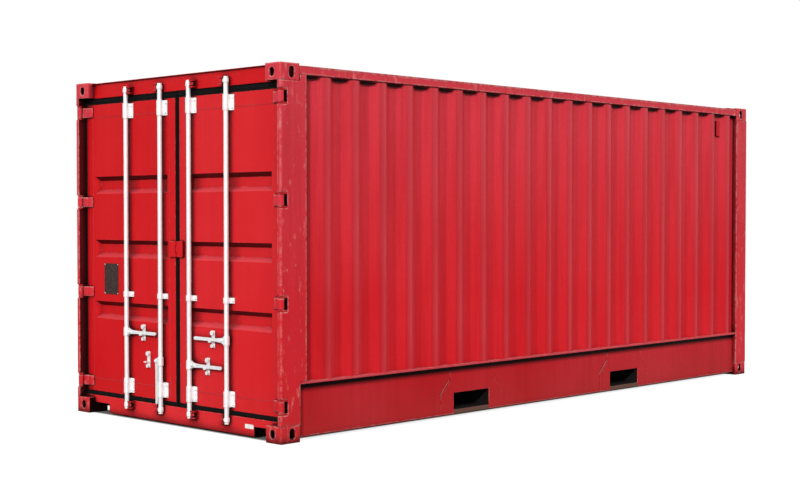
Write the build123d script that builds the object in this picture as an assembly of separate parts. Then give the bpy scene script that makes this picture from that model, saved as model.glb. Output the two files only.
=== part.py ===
"""Twenty-foot steel dry-cargo shipping container with two hinged doors.

Every size is in millimetres. The long axis is X, the doors close the -X end, Z is up and
the origin lies on the ground plane under the middle of the box. Left and right are those
of a person who faces the doors, so left is +Y and right is -Y.
"""
import os
from math import atan, degrees

from build123d import *

# Overall size of the box
LENGTH = 6058.0
WIDTH = 2438.0
HEIGHT = 2591.0

# How far a cutting shape runs past the steel it cuts
CUT_OVER = 1.0

# Corner castings
CAST_X = 178.0
CAST_Y = 162.0
CAST_Z = 118.0
CAST_WALL = 14.0
CAST_SLOT_WALL = 28.5
CAST_SEAT_WALL = 10.0
CAST_EDGE = 10.0
SLOT_LONG = 124.0
SLOT_WIDE = 63.5
SLOT_FROM_END = 102.5
SLOT_FROM_SIDE = 89.5
SIDE_HOLE_TALL = 79.5
END_HOLE_TALL = 63.5
FACE_HOLE_WIDE = 51.0
FACE_HOLE_HEIGHT = 62.0

# Door-end corner posts
POST_PLATE = 6.0
POST_BEND = 9.0
POST_LIP = 34.0
POST_SIDE = 238.0
CHANNEL_DEEP = 113.0
CHANNEL_WIDE = 28.0
CHANNEL_WALL = 12.0

# Blind-end corner posts
BLIND_POST_SIDE = 178.0
BLIND_POST_RETURN = 60.0

# Door hinges
PIN_INSET = 23.0
PIN_R = 10.0
PIN_CLEAR = 0.1
KNUCKLE_R = 22.0
HINGE_COUNT = 4
LOW_HINGE_ABOVE = 78.0
TOP_HINGE_BELOW = 58.0
BLADE_TALL = 76.0
BLADE_LONG = 120.0
BLADE_THICK = 12.0
BLADE_TIP = 10.0
BLADE_CHAMFER = 5.0
BLADE_START = 48.0
NECK_LONG = 22.0
NECK_FRONT = 14.0
NECK_BACK = 16.0
NECK_REAR = 24.0
LUG_R = 21.0
LUG_THICK = 14.0
LUG_HALF = 14.0
LUG_GAP = 2.0
NOTCH_DEEP = 61.0
CHANNEL_NOTCH = 70.0

# Header and sill across the door end
FRAME_FACE = 60.0
HEADER_DROP = 10.0
HEADER_TALL = 111.0
HEADER_DEEP = 110.0
BEAM_WALL = 4.0
EAVE_INSET = 45.0
SILL_LOW = 12.0
SILL_TOP = 138.0
SILL_DEEP = 90.0
SILL_NOTCH_WIDE = 190.0
SILL_NOTCH_TOP = 82.0

# Door leaves
DOOR_FACE = 66.0
DOOR_THICK = 50.0
DOOR_FOOT_GAP = 34.0
DOOR_HEAD_GAP = 50.0
DOOR_SIDE_GAP = 25.0
MEETING_HALF_GAP = 25.0
STILE_OUTER = 80.0
STILE_INNER = 70.0
DOOR_RAIL = 100.0
FRAME_TUBE_WALL = 3.2
PANEL_SHEET = 2.0
GROOVE_RISES = (643.0, 1124.0, 1618.0)
GROOVE_TALL = 138.0
GROOVE_DEEP = 34.0
GROOVE_SLOPE = 32.0
GROOVE_MARGIN = 24.0
GASKET_FACE = 70.0
GASKET_THICK = 40.0
GASKET_CLEAR = 0.3
MEETING_CLEAR = 10.0

# Locking bars
BAR_R = 17.0
BAR_BORE_R = 13.0
BAR_DEPTH = 35.0
BAR_PLACES = (600.0, 173.0, -173.0, -600.0)
BAR_PLUG = 50.0
BAR_BEYOND_CAM = 30.0
GUIDE_CLEAR = 0.5
LOW_BRACKET_ABOVE = 80.0
TOP_BRACKET_BELOW = 68.0
BRACKET_TALL = 112.0
BRACKET_WIDE = 112.0
BRACKET_PLATE = 5.0
SADDLE_R = 23.0
GUIDE_HEIGHT = 952.0
GUIDE_TALL = 40.0

# Cams on the bar ends and the keepers that hold them
CAM_R = 21.0
CAM_TALL = 30.0
CAM_CLEAR = 0.2
CAM_BELOW_SILL = 33.0
CAM_ABOVE_HEADER = 35.0
NOSE_REACH = 58.0
NOSE_ROOT_WIDE = 26.0
NOSE_TIP_WIDE = 14.0
NOSE_THICK = 20.0
KEEPER_START = 24.0
KEEPER_WIDE = 46.0
KEEPER_LUG = 10.0
KEEPER_BASE = 7.0
KEEPER_GAP = 8.0
KEEPER_FRONT = 20.0

# Handles on the bars
HANDLE_HEIGHTS = (666.0, 466.0, 466.0, 666.0)
HANDLE_SIDES = (-1, 1, -1, 1)
HANDLE_REACH = 370.0
HANDLE_PIVOT = 46.0
HANDLE_THICK = 10.0
HANDLE_TALL = 24.0
HANDLE_ROOT_R = 17.0
HANDLE_TAPER = 80.0
HANDLE_PIN_R = 7.0
HUB_R = 23.0
HUB_TALL = 64.0
EAR_ROOT = 28.0
HUB_EAR = 5.0
HUB_EAR_GAP = 1.5
HUB_EAR_START = 2.0
PIN_HEAD = 4.0
HANGING_HANDLE = 1
CATCH_DISTANCE = 184.0
CATCH_WIDE = 34.0
CATCH_TALL = 124.0
CATCH_PLATE = 5.0
SHELF_THICK = 10.0
SHELF_FRONT = 24.0
SHELF_INSET = 4.0
SHELF_CLEAR = 0.3
CATCH_BACK_GAP = 5.0
LOBE_RISE = 44.0
LOBE_R = 17.0
FOOT_DROP = 48.0
FOOT_R = 14.0

# Blocks that stop the two leaves from shifting against each other
RACK_HALF = 80.0
RACK_LOW = 1248.0
RACK_TALL = 116.0
RACK_THICK = 18.0
RACK_ARM = 32.0
RACK_GAP = 6.0
RACK_PAST_MIDDLE = 1.0

# Side rails
RAIL_TUBE = 60.0
RAIL_DROP = 16.0
RAIL_TUBE_WALL = 3.0
RAIL_INSET = 5.0
LOW_RAIL_TOP = 412.0
LOW_RAIL_LOW = 30.0
LOW_RAIL_WALL = 4.5
LIP_TALL = 16.0
LIP_INSET = 3.0
WEB_INSET = 38.0
FOOT_FLANGE = 14.0

# Fork pockets
POCKET_PLACES = (-1025.0, 1025.0)
POCKET_WIDE = 420.0
POCKET_LOW = 60.0
POCKET_TOP = 190.0
TUNNEL_WALL = 6.0
TUNNEL_STRAP = 200.0
DOUBLER_THICK = 4.0
DOUBLER_NARROW = 250.0
DOUBLER_WIDE = 355.0
DOUBLER_SHOULDER = 275.0
DOUBLER_FOOT = 175.0

# Corrugated side and end walls
SIDE_SHEET = 2.0
CREST_INSET = 10.0
SIDE_DEEP = 36.0
SIDE_PITCH = 278.5
SIDE_CREST = 72.0
SIDE_SLOPE = 68.0
SIDE_BEND = 22.0
FIRST_CREST = 397.0
BLIND_CREST_INSET = 14.0
BLIND_DEEP = 45.0
BLIND_PITCH = 250.0
BLIND_CREST = 107.0
BLIND_SLOPE = 18.0
BLIND_BEND = 8.0

# Blind-end beams
BLIND_HEADER_TALL = 60.0
BLIND_SILL_TALL = 140.0
BLIND_BEAM_DEEP = 60.0
BLIND_BEAM_INSET = 8.0

# Roof
ROOF_SHEET = 2.0
ROOF_PITCH = 209.0
ROOF_TROUGH = 91.0
ROOF_SLOPE = 26.0
ROOF_DEEP = 20.0
ROOF_MARGIN = 70.0
ROOF_EDGE = 4.0
CORNER_PLATE_LONG = 250.0
CORNER_PLATE_RAMP = 100.0
CORNER_PLATE_TOE = 40.0
CORNER_PLATE_WIDE = 300.0
CORNER_PLATE_RISE = 9.0
CORNER_PLATE_SHEET = 4.0

# Floor
FLOOR_THICK = 28.0
FLOOR_BOARDS = 5
FLOOR_JOINT = 2.0
FLOOR_DOOR_GAP = 1.0
FLOOR_BLIND_GAP = 2.0
FLOOR_SIDE_GAP = 3.0
CROSS_WIDE = 45.0
CROSS_WALL = 4.5
CROSS_PITCH = 310.0

# Ventilators near the top of the walls
VENT_WIDE = 58.0
VENT_TALL = 146.0
VENT_DEEP = 18.0
VENT_DROP = 195.0
VENT_EDGE = 5.0

# Places worked out from the sizes above
DOOR_END = -LENGTH / 2
BLIND_END = LENGTH / 2
SIDE = WIDTH / 2
JAMB = SIDE - POST_LIP
PIN_Y = SIDE - PIN_INSET
PIN_X = DOOR_END + PIN_INSET
LEAF_OUTER = JAMB - DOOR_SIDE_GAP
ROOF_SIDE = SIDE - RAIL_INSET - ROOF_EDGE
CAST_INNER = SIDE - CAST_Y
CREST_Y = SIDE - CREST_INSET
VALLEY_Y = CREST_Y - SIDE_DEEP
WEB_Y = SIDE - WEB_INSET
FLOOR_LOW = POCKET_TOP + TUNNEL_WALL
FLOOR_TOP = FLOOR_LOW + FLOOR_THICK
POST_LOW = CAST_Z
POST_TOP = HEIGHT - CAST_Z
RAIL_TOP = HEIGHT - RAIL_DROP
HEADER_TOP = HEIGHT - HEADER_DROP
HEADER_LOW = HEADER_TOP - HEADER_TALL
DOOR_LOW = SILL_TOP + DOOR_FOOT_GAP
DOOR_TOP = HEADER_LOW - DOOR_HEAD_GAP
GROOVE_MIDDLES = [DOOR_LOW + rise for rise in GROOVE_RISES]
HINGE_FIRST = DOOR_LOW + LOW_HINGE_ABOVE
HINGE_PITCH = (DOOR_TOP - TOP_HINGE_BELOW - HINGE_FIRST) / (HINGE_COUNT - 1)
HINGE_HEIGHTS = [HINGE_FIRST + i * HINGE_PITCH for i in range(HINGE_COUNT)]
BRACKET_HEIGHTS = (DOOR_LOW + LOW_BRACKET_ABOVE, DOOR_TOP - TOP_BRACKET_BELOW)
CAM_HEIGHTS = (SILL_TOP - CAM_BELOW_SILL, HEADER_LOW + CAM_ABOVE_HEADER)
BAR_LOW = CAM_HEIGHTS[0] - BAR_BEYOND_CAM
BAR_TOP = CAM_HEIGHTS[1] + BAR_BEYOND_CAM
BAR_X = DOOR_END + BAR_DEPTH
FACE_X = DOOR_END + DOOR_FACE


def block(x0, x1, y0, y1, z0, z1):
    """A box between two opposite corners, given as pairs along X, Y and Z."""
    size = Box(abs(x1 - x0), abs(y1 - y0), abs(z1 - z0))
    return Pos((x0 + x1) / 2, (y0 + y1) / 2, (z0 + z1) / 2) * size


def upright(face, z0, z1):
    """A flat face in the XY plane carried straight up from z0 to z1."""
    return extrude(Pos(0, 0, z0) * face, amount=z1 - z0, dir=(0, 0, 1))


def plan(points, z0, z1):
    """A straight prism on an outline of straight lines in the XY plane."""
    return upright(make_face(Polyline(*points, close=True)), z0, z1)


def side_view(points, x0, x1):
    """A straight prism along X on an outline of (Y, Z) points."""
    face = Plane(origin=(x0, 0, 0), x_dir=(0, 1, 0), z_dir=(1, 0, 0))
    return extrude(face * make_face(Polyline(*points, close=True)), amount=x1 - x0, dir=(1, 0, 0))


def tube_z(x, y, z0, z1, radius):
    """A round bar that stands upright at x, y from z0 to z1."""
    return Pos(x, y, (z0 + z1) / 2) * Cylinder(radius, z1 - z0)


def tube_x(x0, x1, y, z, radius):
    """A round bar along X at height z."""
    turned = Rot(0, 90, 0) * Cylinder(radius, abs(x1 - x0))
    return Pos((x0 + x1) / 2, y, z) * turned


def mirrored(shape):
    """The same shape on the other side of the middle plane Y = 0."""
    return mirror(shape, about=Plane.XZ)


def on_side(shape, side):
    """A shape drawn for the left (+Y) side, left there or carried to the right."""
    return shape if side > 0 else mirrored(shape)


def gather(shapes):
    """Loose solids of one node, kept as separate solids."""
    solids = []
    for shape in shapes:
        solids.extend(shape.solids())
    return Compound(children=solids) if len(solids) > 1 else solids[0]


def save(name, shape):
    """Write one node to its own file."""
    export_step(shape, os.path.join("parts", name + ".step"))


def hollow_beam(x0, x1, y0, y1, z0, z1, wall, along):
    """A rectangular tube that runs along X or Y and is open at both ends."""
    outer = block(x0, x1, y0, y1, z0, z1)
    if along == "X":
        inner = block(x0 - CUT_OVER, x1 + CUT_OVER, y0 + wall, y1 - wall, z0 + wall,
                      z1 - wall)
    else:
        inner = block(x0 + wall, x1 - wall, y0 - CUT_OVER, y1 + CUT_OVER, z0 + wall,
                      z1 - wall)
    return outer - inner


def corner_casting(end, side, level):
    """A hollow cast corner with a slot in its seat face and holes in two outer faces.

    end is -1 at the doors and 1 at the blind end, side is 1 on the left and level is
    -1 for the casting that stands on the ground.
    """
    z0 = 0.0 if level < 0 else HEIGHT - CAST_Z
    body = Pos(0, 0, z0 + CAST_Z / 2) * Box(CAST_X, CAST_Y, CAST_Z)
    body = fillet(body.edges().filter_by(Axis.Z), CAST_EDGE)
    below = CAST_SLOT_WALL if level < 0 else CAST_SEAT_WALL
    above = CAST_SEAT_WALL if level < 0 else CAST_SLOT_WALL
    room_tall = CAST_Z - below - above
    room = Box(CAST_X - 2 * CAST_WALL, CAST_Y - 2 * CAST_WALL, room_tall)
    body -= Pos(0, 0, z0 + below + room_tall / 2) * room

    slot_x = CAST_X / 2 - SLOT_FROM_END
    slot_y = CAST_Y / 2 - SLOT_FROM_SIDE
    seat_z = z0 if level < 0 else HEIGHT
    slot = extrude(SlotOverall(SLOT_LONG, SLOT_WIDE), amount=CAST_SLOT_WALL + CUT_OVER, both=True)
    body -= Pos(end * slot_x, side * slot_y, seat_z) * slot

    hole_z = FACE_HOLE_HEIGHT if level < 0 else HEIGHT - FACE_HOLE_HEIGHT
    quarter = Rot(0, 0, 90)
    reach = CAST_WALL + 2 * CUT_OVER
    end_hole = extrude(quarter * SlotOverall(END_HOLE_TALL, FACE_HOLE_WIDE), amount=reach)
    end_hole = Rot(0, 90, 0) * Rot(0, 0, 90) * end_hole
    body -= Pos(end * (CAST_X / 2 + CUT_OVER), side * slot_y, hole_z) * on_end(end_hole, -end)
    side_hole = extrude(quarter * SlotOverall(SIDE_HOLE_TALL, FACE_HOLE_WIDE), amount=reach)
    side_hole = Rot(90, 0, 0) * side_hole
    body -= Pos(end * slot_x, side * (CAST_Y / 2 + CUT_OVER), hole_z) * on_side(side_hole, side)

    place = Pos(end * (LENGTH - CAST_X) / 2, side * (WIDTH - CAST_Y) / 2, 0)
    return place * body


def on_end(shape, end):
    """A shape that points along +X, left so or turned to point along -X."""
    return shape if end > 0 else mirror(shape, about=Plane.YZ)


def hinge_cut(deep):
    """The openings in a left post that let the four hinges through."""
    half = BLADE_TALL / 2 + LUG_GAP + LUG_THICK
    low_y = JAMB - CUT_OVER
    return [block(DOOR_END - CUT_OVER, DOOR_END + deep, low_y, SIDE + CUT_OVER, z - half, z + half)
            for z in HINGE_HEIGHTS]


def door_post_outer():
    """The pressed left corner post: front lip, broad side plate and rear return."""
    x0, x1 = DOOR_END, DOOR_END + POST_SIDE
    y_in = SIDE - POST_PLATE
    rail_low = RAIL_TOP - RAIL_TUBE
    lip = block(x0, x0 + POST_PLATE, JAMB, SIDE, POST_LOW, POST_TOP)
    web = block(x0, x0 + CAST_X, y_in, SIDE, POST_LOW, POST_TOP)
    wide = block(x0 + CAST_X, x1, y_in, SIDE, LOW_RAIL_TOP, rail_low)
    rear = block(x1 - POST_PLATE, x1, VALLEY_Y - SIDE_SHEET, SIDE, LOW_RAIL_TOP, rail_low)
    post = lip + web + wide + rear
    corner = [edge for edge in post.edges().filter_by(Axis.Z)
              if abs(edge.center().X - x0) + abs(edge.center().Y - SIDE) < CUT_OVER]
    post = fillet(corner, POST_BEND)
    for cut in hinge_cut(NOTCH_DEEP):
        post -= cut
    return post


def door_post_channel():
    """The rolled channel inside the left corner post that the leaf closes against."""
    x0 = DOOR_END + POST_PLATE
    x1 = x0 + CHANNEL_DEEP
    y0, y1 = JAMB, JAMB + CHANNEL_WIDE
    outer = block(x0, x1, y0, y1, POST_LOW, POST_TOP)
    inner = block(x0 + CHANNEL_WALL, x1 - CHANNEL_WALL, y0 + CHANNEL_WALL, y1 + CUT_OVER,
                  POST_LOW - CUT_OVER, POST_TOP + CUT_OVER)
    post = outer - inner
    for cut in hinge_cut(CHANNEL_NOTCH):
        post -= cut
    return post


def hinge_lugs():
    """Four hinge brackets of the left post: two lugs and the pin through them."""
    solids = []
    inner = BLADE_TALL / 2 + LUG_GAP
    for z in HINGE_HEIGHTS:
        pin = tube_z(PIN_X, PIN_Y, z - inner - LUG_THICK, z + inner + LUG_THICK, PIN_R)
        bracket = pin
        for low in (z - inner - LUG_THICK, z + inner):
            eye = tube_z(PIN_X, PIN_Y, low, low + LUG_THICK, LUG_R)
            arm = block(PIN_X, DOOR_END + NOTCH_DEEP, PIN_Y - LUG_HALF, SIDE, low,
                        low + LUG_THICK)
            bracket += eye + arm
        solids.append(bracket)
    return gather(solids)


def hinge_blades():
    """The four forged blades of the left leaf, each with its knuckle round the pin."""
    face = DOOR_FACE - PIN_INSET
    front = face - BLADE_THICK
    outline = [(0, 0), (NECK_LONG, NECK_FRONT), (BLADE_START, front),
               (BLADE_LONG - BLADE_TIP, front), (BLADE_LONG, front + BLADE_CHAMFER),
               (BLADE_LONG, face), (BLADE_START, face), (NECK_BACK, NECK_REAR), (0, NECK_BACK)]
    points = [(PIN_X + b, PIN_Y - a) for a, b in outline]
    solids = []
    for z in HINGE_HEIGHTS:
        low, high = z - BLADE_TALL / 2, z + BLADE_TALL / 2
        blade = plan(points, low, high) + tube_z(PIN_X, PIN_Y, low, high, KNUCKLE_R)
        blade -= tube_z(PIN_X, PIN_Y, low - CUT_OVER, high + CUT_OVER, PIN_R + PIN_CLEAR)
        solids.append(blade)
    return gather(solids)


def door_header():
    """The box beam over the doors with the thin eave plate that overhangs its face."""
    x0 = DOOR_END + FRAME_FACE
    beam = hollow_beam(x0, x0 + HEADER_DEEP, -CAST_INNER, CAST_INNER, HEADER_LOW, HEADER_TOP,
                       BEAM_WALL, "Y")
    eave = block(DOOR_END + EAVE_INSET, DOOR_END + CAST_X, -CAST_INNER, CAST_INNER,
                 HEADER_TOP, HEADER_TOP + BEAM_WALL)
    return beam + eave


def door_sill():
    """The pressed sill under the doors, cut away beside both corner castings."""
    x0 = DOOR_END + FRAME_FACE
    x1 = x0 + SILL_DEEP
    sill = hollow_beam(x0, x1, -CAST_INNER, CAST_INNER, SILL_LOW, SILL_TOP, BEAM_WALL, "Y")
    for side in (-1, 1):
        inner = side * (CAST_INNER - SILL_NOTCH_WIDE)
        outer = side * (CAST_INNER + CUT_OVER)
        sill -= block(x0 - CUT_OVER, x1 + CUT_OVER, inner, outer, SILL_LOW - CUT_OVER,
                      SILL_NOTCH_TOP)
        sill += block(x0, x1, side * CAST_INNER, side * JAMB, CAST_Z, SILL_TOP)
    return sill + block(x1 - BEAM_WALL, x1, -JAMB, JAMB, SILL_TOP, FLOOR_TOP)


def leaf_frame():
    """The welded tube frame of the left leaf."""
    x0, x1 = FACE_X, FACE_X + DOOR_THICK
    wall = FRAME_TUBE_WALL
    y_in, y_out = MEETING_HALF_GAP, LEAF_OUTER
    outer = hollow_post(x0, x1, y_out - STILE_OUTER, y_out, DOOR_LOW, DOOR_TOP, wall)
    inner = hollow_post(x0, x1, y_in, y_in + STILE_INNER, DOOR_LOW, DOOR_TOP, wall)
    frame = outer + inner
    for low in (DOOR_LOW, DOOR_TOP - DOOR_RAIL):
        frame += hollow_beam(x0, x1, y_in + STILE_INNER, y_out - STILE_OUTER, low,
                             low + DOOR_RAIL, wall, "Y")
    return frame


def hollow_post(x0, x1, y0, y1, z0, z1, wall):
    """A rectangular tube that stands upright, closed by a cap at each end."""
    inner = block(x0 + wall, x1 - wall, y0 + wall, y1 - wall, z0 + wall, z1 - wall)
    return block(x0, x1, y0, y1, z0, z1) - inner


def tapered_pocket(x, y0, y1, z_mid, tall, deep, slope):
    """A pressing that starts at depth x and narrows by slope on every side as it deepens."""
    angle = degrees(atan(slope / deep))
    mouth = Plane(origin=(x, (y0 + y1) / 2, z_mid), x_dir=(0, 1, 0), z_dir=(1, 0, 0))
    sketch = mouth * Rectangle(y1 - y0, tall)
    return extrude(sketch, amount=deep, dir=(1, 0, 0), taper=angle)


def leaf_panel():
    """The steel sheet of the left leaf with three long pressed grooves."""
    x0 = FACE_X
    y0 = MEETING_HALF_GAP + STILE_INNER
    y1 = LEAF_OUTER - STILE_OUTER
    panel = block(x0, x0 + PANEL_SHEET, y0, y1, DOOR_LOW + DOOR_RAIL, DOOR_TOP - DOOR_RAIL)
    for middle in GROOVE_MIDDLES:
        g0, g1 = y0 + GROOVE_MARGIN, y1 - GROOVE_MARGIN
        panel += tapered_pocket(x0 + PANEL_SHEET, g0, g1, middle, GROOVE_TALL, GROOVE_DEEP,
                                GROOVE_SLOPE)
    for middle in GROOVE_MIDDLES:
        g0 = y0 + GROOVE_MARGIN + PANEL_SHEET
        g1 = y1 - GROOVE_MARGIN - PANEL_SHEET
        panel -= tapered_pocket(x0, g0, g1, middle, GROOVE_TALL - 2 * PANEL_SHEET,
                                GROOVE_DEEP, GROOVE_SLOPE)
    return panel


def leaf_gasket():
    """The rubber seal round the left leaf."""
    x0 = DOOR_END + GASKET_FACE
    x1 = x0 + GASKET_THICK
    outer = block(x0, x1, MEETING_CLEAR / 2, JAMB - GASKET_CLEAR, SILL_TOP + GASKET_CLEAR,
                  HEADER_LOW - GASKET_CLEAR)
    leaf = block(x0 - CUT_OVER, x1 + CUT_OVER, MEETING_HALF_GAP, LEAF_OUTER, DOOR_LOW,
                 DOOR_TOP)
    return outer - leaf


def guide(y, z, tall):
    """A plate on the leaf with the saddle that holds a locking bar."""
    plate = block(FACE_X - BRACKET_PLATE, FACE_X, y - BRACKET_WIDE / 2, y + BRACKET_WIDE / 2,
                  z - tall / 2, z + tall / 2)
    saddle = tube_z(BAR_X, y, z - tall / 2, z + tall / 2, SADDLE_R)
    saddle += block(BAR_X, FACE_X, y - SADDLE_R, y + SADDLE_R, z - tall / 2, z + tall / 2)
    hole = tube_z(BAR_X, y, z - tall, z + tall, BAR_R + GUIDE_CLEAR)
    return plate + saddle - hole


def bar_guides(bars):
    """Upper and lower bearing brackets and one middle guide for each bar of a leaf."""
    solids = []
    for bar in bars:
        for z in BRACKET_HEIGHTS:
            solids.append(guide(BAR_PLACES[bar], z, BRACKET_TALL))
        solids.append(guide(BAR_PLACES[bar], GUIDE_HEIGHT, GUIDE_TALL))
    return gather(solids)


def handle_catch(bar):
    """The retainer of one handle: a plate on the leaf and the shelf the handle rests on."""
    y = BAR_PLACES[bar] + HANDLE_SIDES[bar] * CATCH_DISTANCE
    z = HANDLE_HEIGHTS[bar]
    rest = z - HANDLE_TALL / 2 - SHELF_CLEAR
    y0, y1 = y - CATCH_WIDE / 2, y + CATCH_WIDE / 2
    plate = block(FACE_X - CATCH_PLATE, FACE_X, y0, y1, z - CATCH_TALL / 2, z + CATCH_TALL / 2)
    shelf = block(DOOR_END + SHELF_FRONT, FACE_X - CATCH_PLATE, y0 + SHELF_INSET,
                  y1 - SHELF_INSET, rest - SHELF_THICK, rest)
    back = BAR_DEPTH + HANDLE_THICK / 2 + CATCH_BACK_GAP
    lobe = tube_x(DOOR_END + back, FACE_X - CATCH_PLATE, y, z + LOBE_RISE, LOBE_R)
    foot = tube_x(DOOR_END + back, FACE_X - CATCH_PLATE, y, z - FOOT_DROP, FOOT_R)
    return plate + shelf + lobe + foot


def rack_block_left():
    """The forked half of the block that keeps the leaves level, on the left leaf."""
    x0 = FACE_X - RACK_THICK
    low, high = RACK_LOW, RACK_LOW + RACK_TALL
    body = block(x0, FACE_X, -RACK_PAST_MIDDLE, RACK_HALF, low, high)
    return body - block(x0 - CUT_OVER, FACE_X + CUT_OVER, -RACK_PAST_MIDDLE - CUT_OVER,
                        RACK_PAST_MIDDLE + RACK_GAP, low + RACK_ARM, high - RACK_ARM)


def rack_block_right():
    """The tongue on the right leaf that sits between the arms of the fork."""
    x0 = FACE_X - RACK_THICK
    low, high = RACK_LOW, RACK_LOW + RACK_TALL
    shoulder = -RACK_PAST_MIDDLE - RACK_GAP
    body = block(x0, FACE_X, -RACK_HALF, shoulder, low, high)
    tongue = block(x0, FACE_X, shoulder, RACK_PAST_MIDDLE, low + RACK_ARM + RACK_GAP,
                   high - RACK_ARM - RACK_GAP)
    return body + tongue


def lock_bar(bar):
    """One locking bar: the plugged tube and the hub that carries the handle."""
    y = BAR_PLACES[bar]
    side = HANDLE_SIDES[bar]
    shape = tube_z(BAR_X, y, BAR_LOW, BAR_TOP, BAR_R)
    shape -= tube_z(BAR_X, y, BAR_LOW + BAR_PLUG, BAR_TOP - BAR_PLUG, BAR_BORE_R)
    z = HANDLE_HEIGHTS[bar]
    ring = tube_z(BAR_X, y, z - HUB_TALL / 2, z + HUB_TALL / 2, HUB_R)
    ring -= tube_z(BAR_X, y, z - HUB_TALL, z + HUB_TALL, BAR_BORE_R)
    shape += ring
    pivot = y + side * HANDLE_PIVOT
    gap = HANDLE_THICK / 2 + HUB_EAR_GAP
    for direction in (-1, 1):
        x0 = BAR_X + direction * gap
        x1 = BAR_X + direction * (gap + HUB_EAR)
        root = y + side * (BAR_R + HUB_EAR_START)
        outline = [(root, z - EAR_ROOT), (pivot, z - HANDLE_ROOT_R), (pivot, z + HANDLE_ROOT_R),
                   (root, z + EAR_ROOT)]
        ear = side_view(outline, min(x0, x1), max(x0, x1))
        ear += tube_x(x0, x1, pivot, z, HANDLE_ROOT_R)
        shape += ear
    reach = gap + HUB_EAR + PIN_HEAD
    shape += tube_x(BAR_X - reach, BAR_X + reach, pivot, z, HANDLE_PIN_R)
    return shape


def cam(bar, z):
    """The forged cam at one end of a bar: a ring round the bar and a tapered nose."""
    y = BAR_PLACES[bar]
    side = HANDLE_SIDES[bar]
    root, tip = NOSE_ROOT_WIDE / 2, NOSE_TIP_WIDE / 2
    outline = [(BAR_X - root, y), (BAR_X - tip, y + side * NOSE_REACH),
               (BAR_X + tip, y + side * NOSE_REACH), (BAR_X + root, y)]
    if side < 0:
        outline.reverse()
    nose = plan(outline, z - NOSE_THICK / 2, z + NOSE_THICK / 2)
    ring = tube_z(BAR_X, y, z - CAM_TALL / 2, z + CAM_TALL / 2, CAM_R)
    return ring + nose - tube_z(BAR_X, y, z - CAM_TALL, z + CAM_TALL, BAR_R + CAM_CLEAR)


def handle(bar):
    """One flat handle, drawn level and then turned about its pin if it hangs."""
    side = HANDLE_SIDES[bar]
    pivot = BAR_PLACES[bar] + side * HANDLE_PIVOT
    z = HANDLE_HEIGHTS[bar]
    x0, x1 = BAR_X - HANDLE_THICK / 2, BAR_X + HANDLE_THICK / 2
    tip = BAR_PLACES[bar] + side * HANDLE_REACH
    blade = tube_x(x0, x1, pivot, z, HANDLE_ROOT_R)
    half = HANDLE_TALL / 2
    neck, end = pivot + side * HANDLE_TAPER, tip - side * half
    outline = [(pivot, z - HANDLE_ROOT_R), (neck, z - half), (end, z - half), (end, z + half),
               (neck, z + half), (pivot, z + HANDLE_ROOT_R)]
    blade += side_view(outline, x0, x1)
    blade += tube_x(x0, x1, end, z, half)
    blade -= tube_x(x0 - CUT_OVER, x1 + CUT_OVER, pivot, z, HANDLE_PIN_R + PIN_CLEAR)
    if bar == HANGING_HANDLE:
        pin = Axis((BAR_X, pivot, z), (1, 0, 0))
        blade = blade.rotate(pin, -90 * side)
    return blade


def keeper(bar, z):
    """An open-fronted keeper: a base on the frame and two lugs that hold the cam nose."""
    y = BAR_PLACES[bar]
    side = HANDLE_SIDES[bar]
    y0 = y + side * KEEPER_START
    y1 = y0 + side * KEEPER_WIDE
    half = NOSE_THICK / 2 + KEEPER_GAP
    face = DOOR_END + FRAME_FACE
    base = block(face - KEEPER_BASE, face, y0, y1, z - half - KEEPER_LUG, z + half + KEEPER_LUG)
    for low in (z - half - KEEPER_LUG, z + half):
        base += block(DOOR_END + KEEPER_FRONT, face, y0, y1, low, low + KEEPER_LUG)
    return base


def top_rail():
    """The square tube along the top of the left wall."""
    y1 = SIDE - RAIL_INSET
    return hollow_beam(DOOR_END + CAST_X, BLIND_END - CAST_X, y1 - RAIL_TUBE, y1,
                       RAIL_TOP - RAIL_TUBE, RAIL_TOP, RAIL_TUBE_WALL, "X")


def bottom_rail():
    """The deep pressed rail under the left wall, cut for the fork pockets.

    The section is a web set back under a turned-down lip, with a short foot flange.
    """
    wall = LOW_RAIL_WALL
    lip_y = SIDE - LIP_INSET
    x0 = DOOR_END + CAST_X
    x1 = BLIND_END - BLIND_POST_SIDE
    outline = [(WEB_Y - wall, LOW_RAIL_LOW), (WEB_Y + FOOT_FLANGE, LOW_RAIL_LOW),
               (WEB_Y + FOOT_FLANGE, LOW_RAIL_LOW + wall), (WEB_Y, LOW_RAIL_LOW + wall),
               (WEB_Y, LOW_RAIL_TOP - wall), (lip_y - wall, LOW_RAIL_TOP - wall),
               (lip_y - wall, LOW_RAIL_TOP - LIP_TALL), (lip_y, LOW_RAIL_TOP - LIP_TALL),
               (lip_y, LOW_RAIL_TOP), (WEB_Y - wall, LOW_RAIL_TOP)]
    rail = side_view(outline, x0, x1)
    for middle in POCKET_PLACES:
        rail += doubler(middle)
    for middle in POCKET_PLACES:
        rail -= block(middle - POCKET_WIDE / 2, middle + POCKET_WIDE / 2, WEB_Y - wall - CUT_OVER,
                      SIDE, POCKET_LOW, POCKET_TOP)
    return rail


def doubler(middle):
    """The flared plate welded on the web round one fork pocket."""
    low = LOW_RAIL_LOW + LOW_RAIL_WALL
    high = LOW_RAIL_TOP - LOW_RAIL_WALL
    half = [(DOUBLER_NARROW, high), (DOUBLER_NARROW, DOUBLER_SHOULDER),
            (DOUBLER_WIDE, DOUBLER_FOOT), (DOUBLER_WIDE, low)]
    outline = [(middle + x, z) for x, z in half] + [(middle - x, z) for x, z in reversed(half)]
    face = Plane(origin=(0, WEB_Y, 0), x_dir=(1, 0, 0), z_dir=(0, -1, 0))
    sketch = face * make_face(Polyline(*outline, close=True))
    return extrude(sketch, amount=DOUBLER_THICK, dir=(0, 1, 0))


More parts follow.
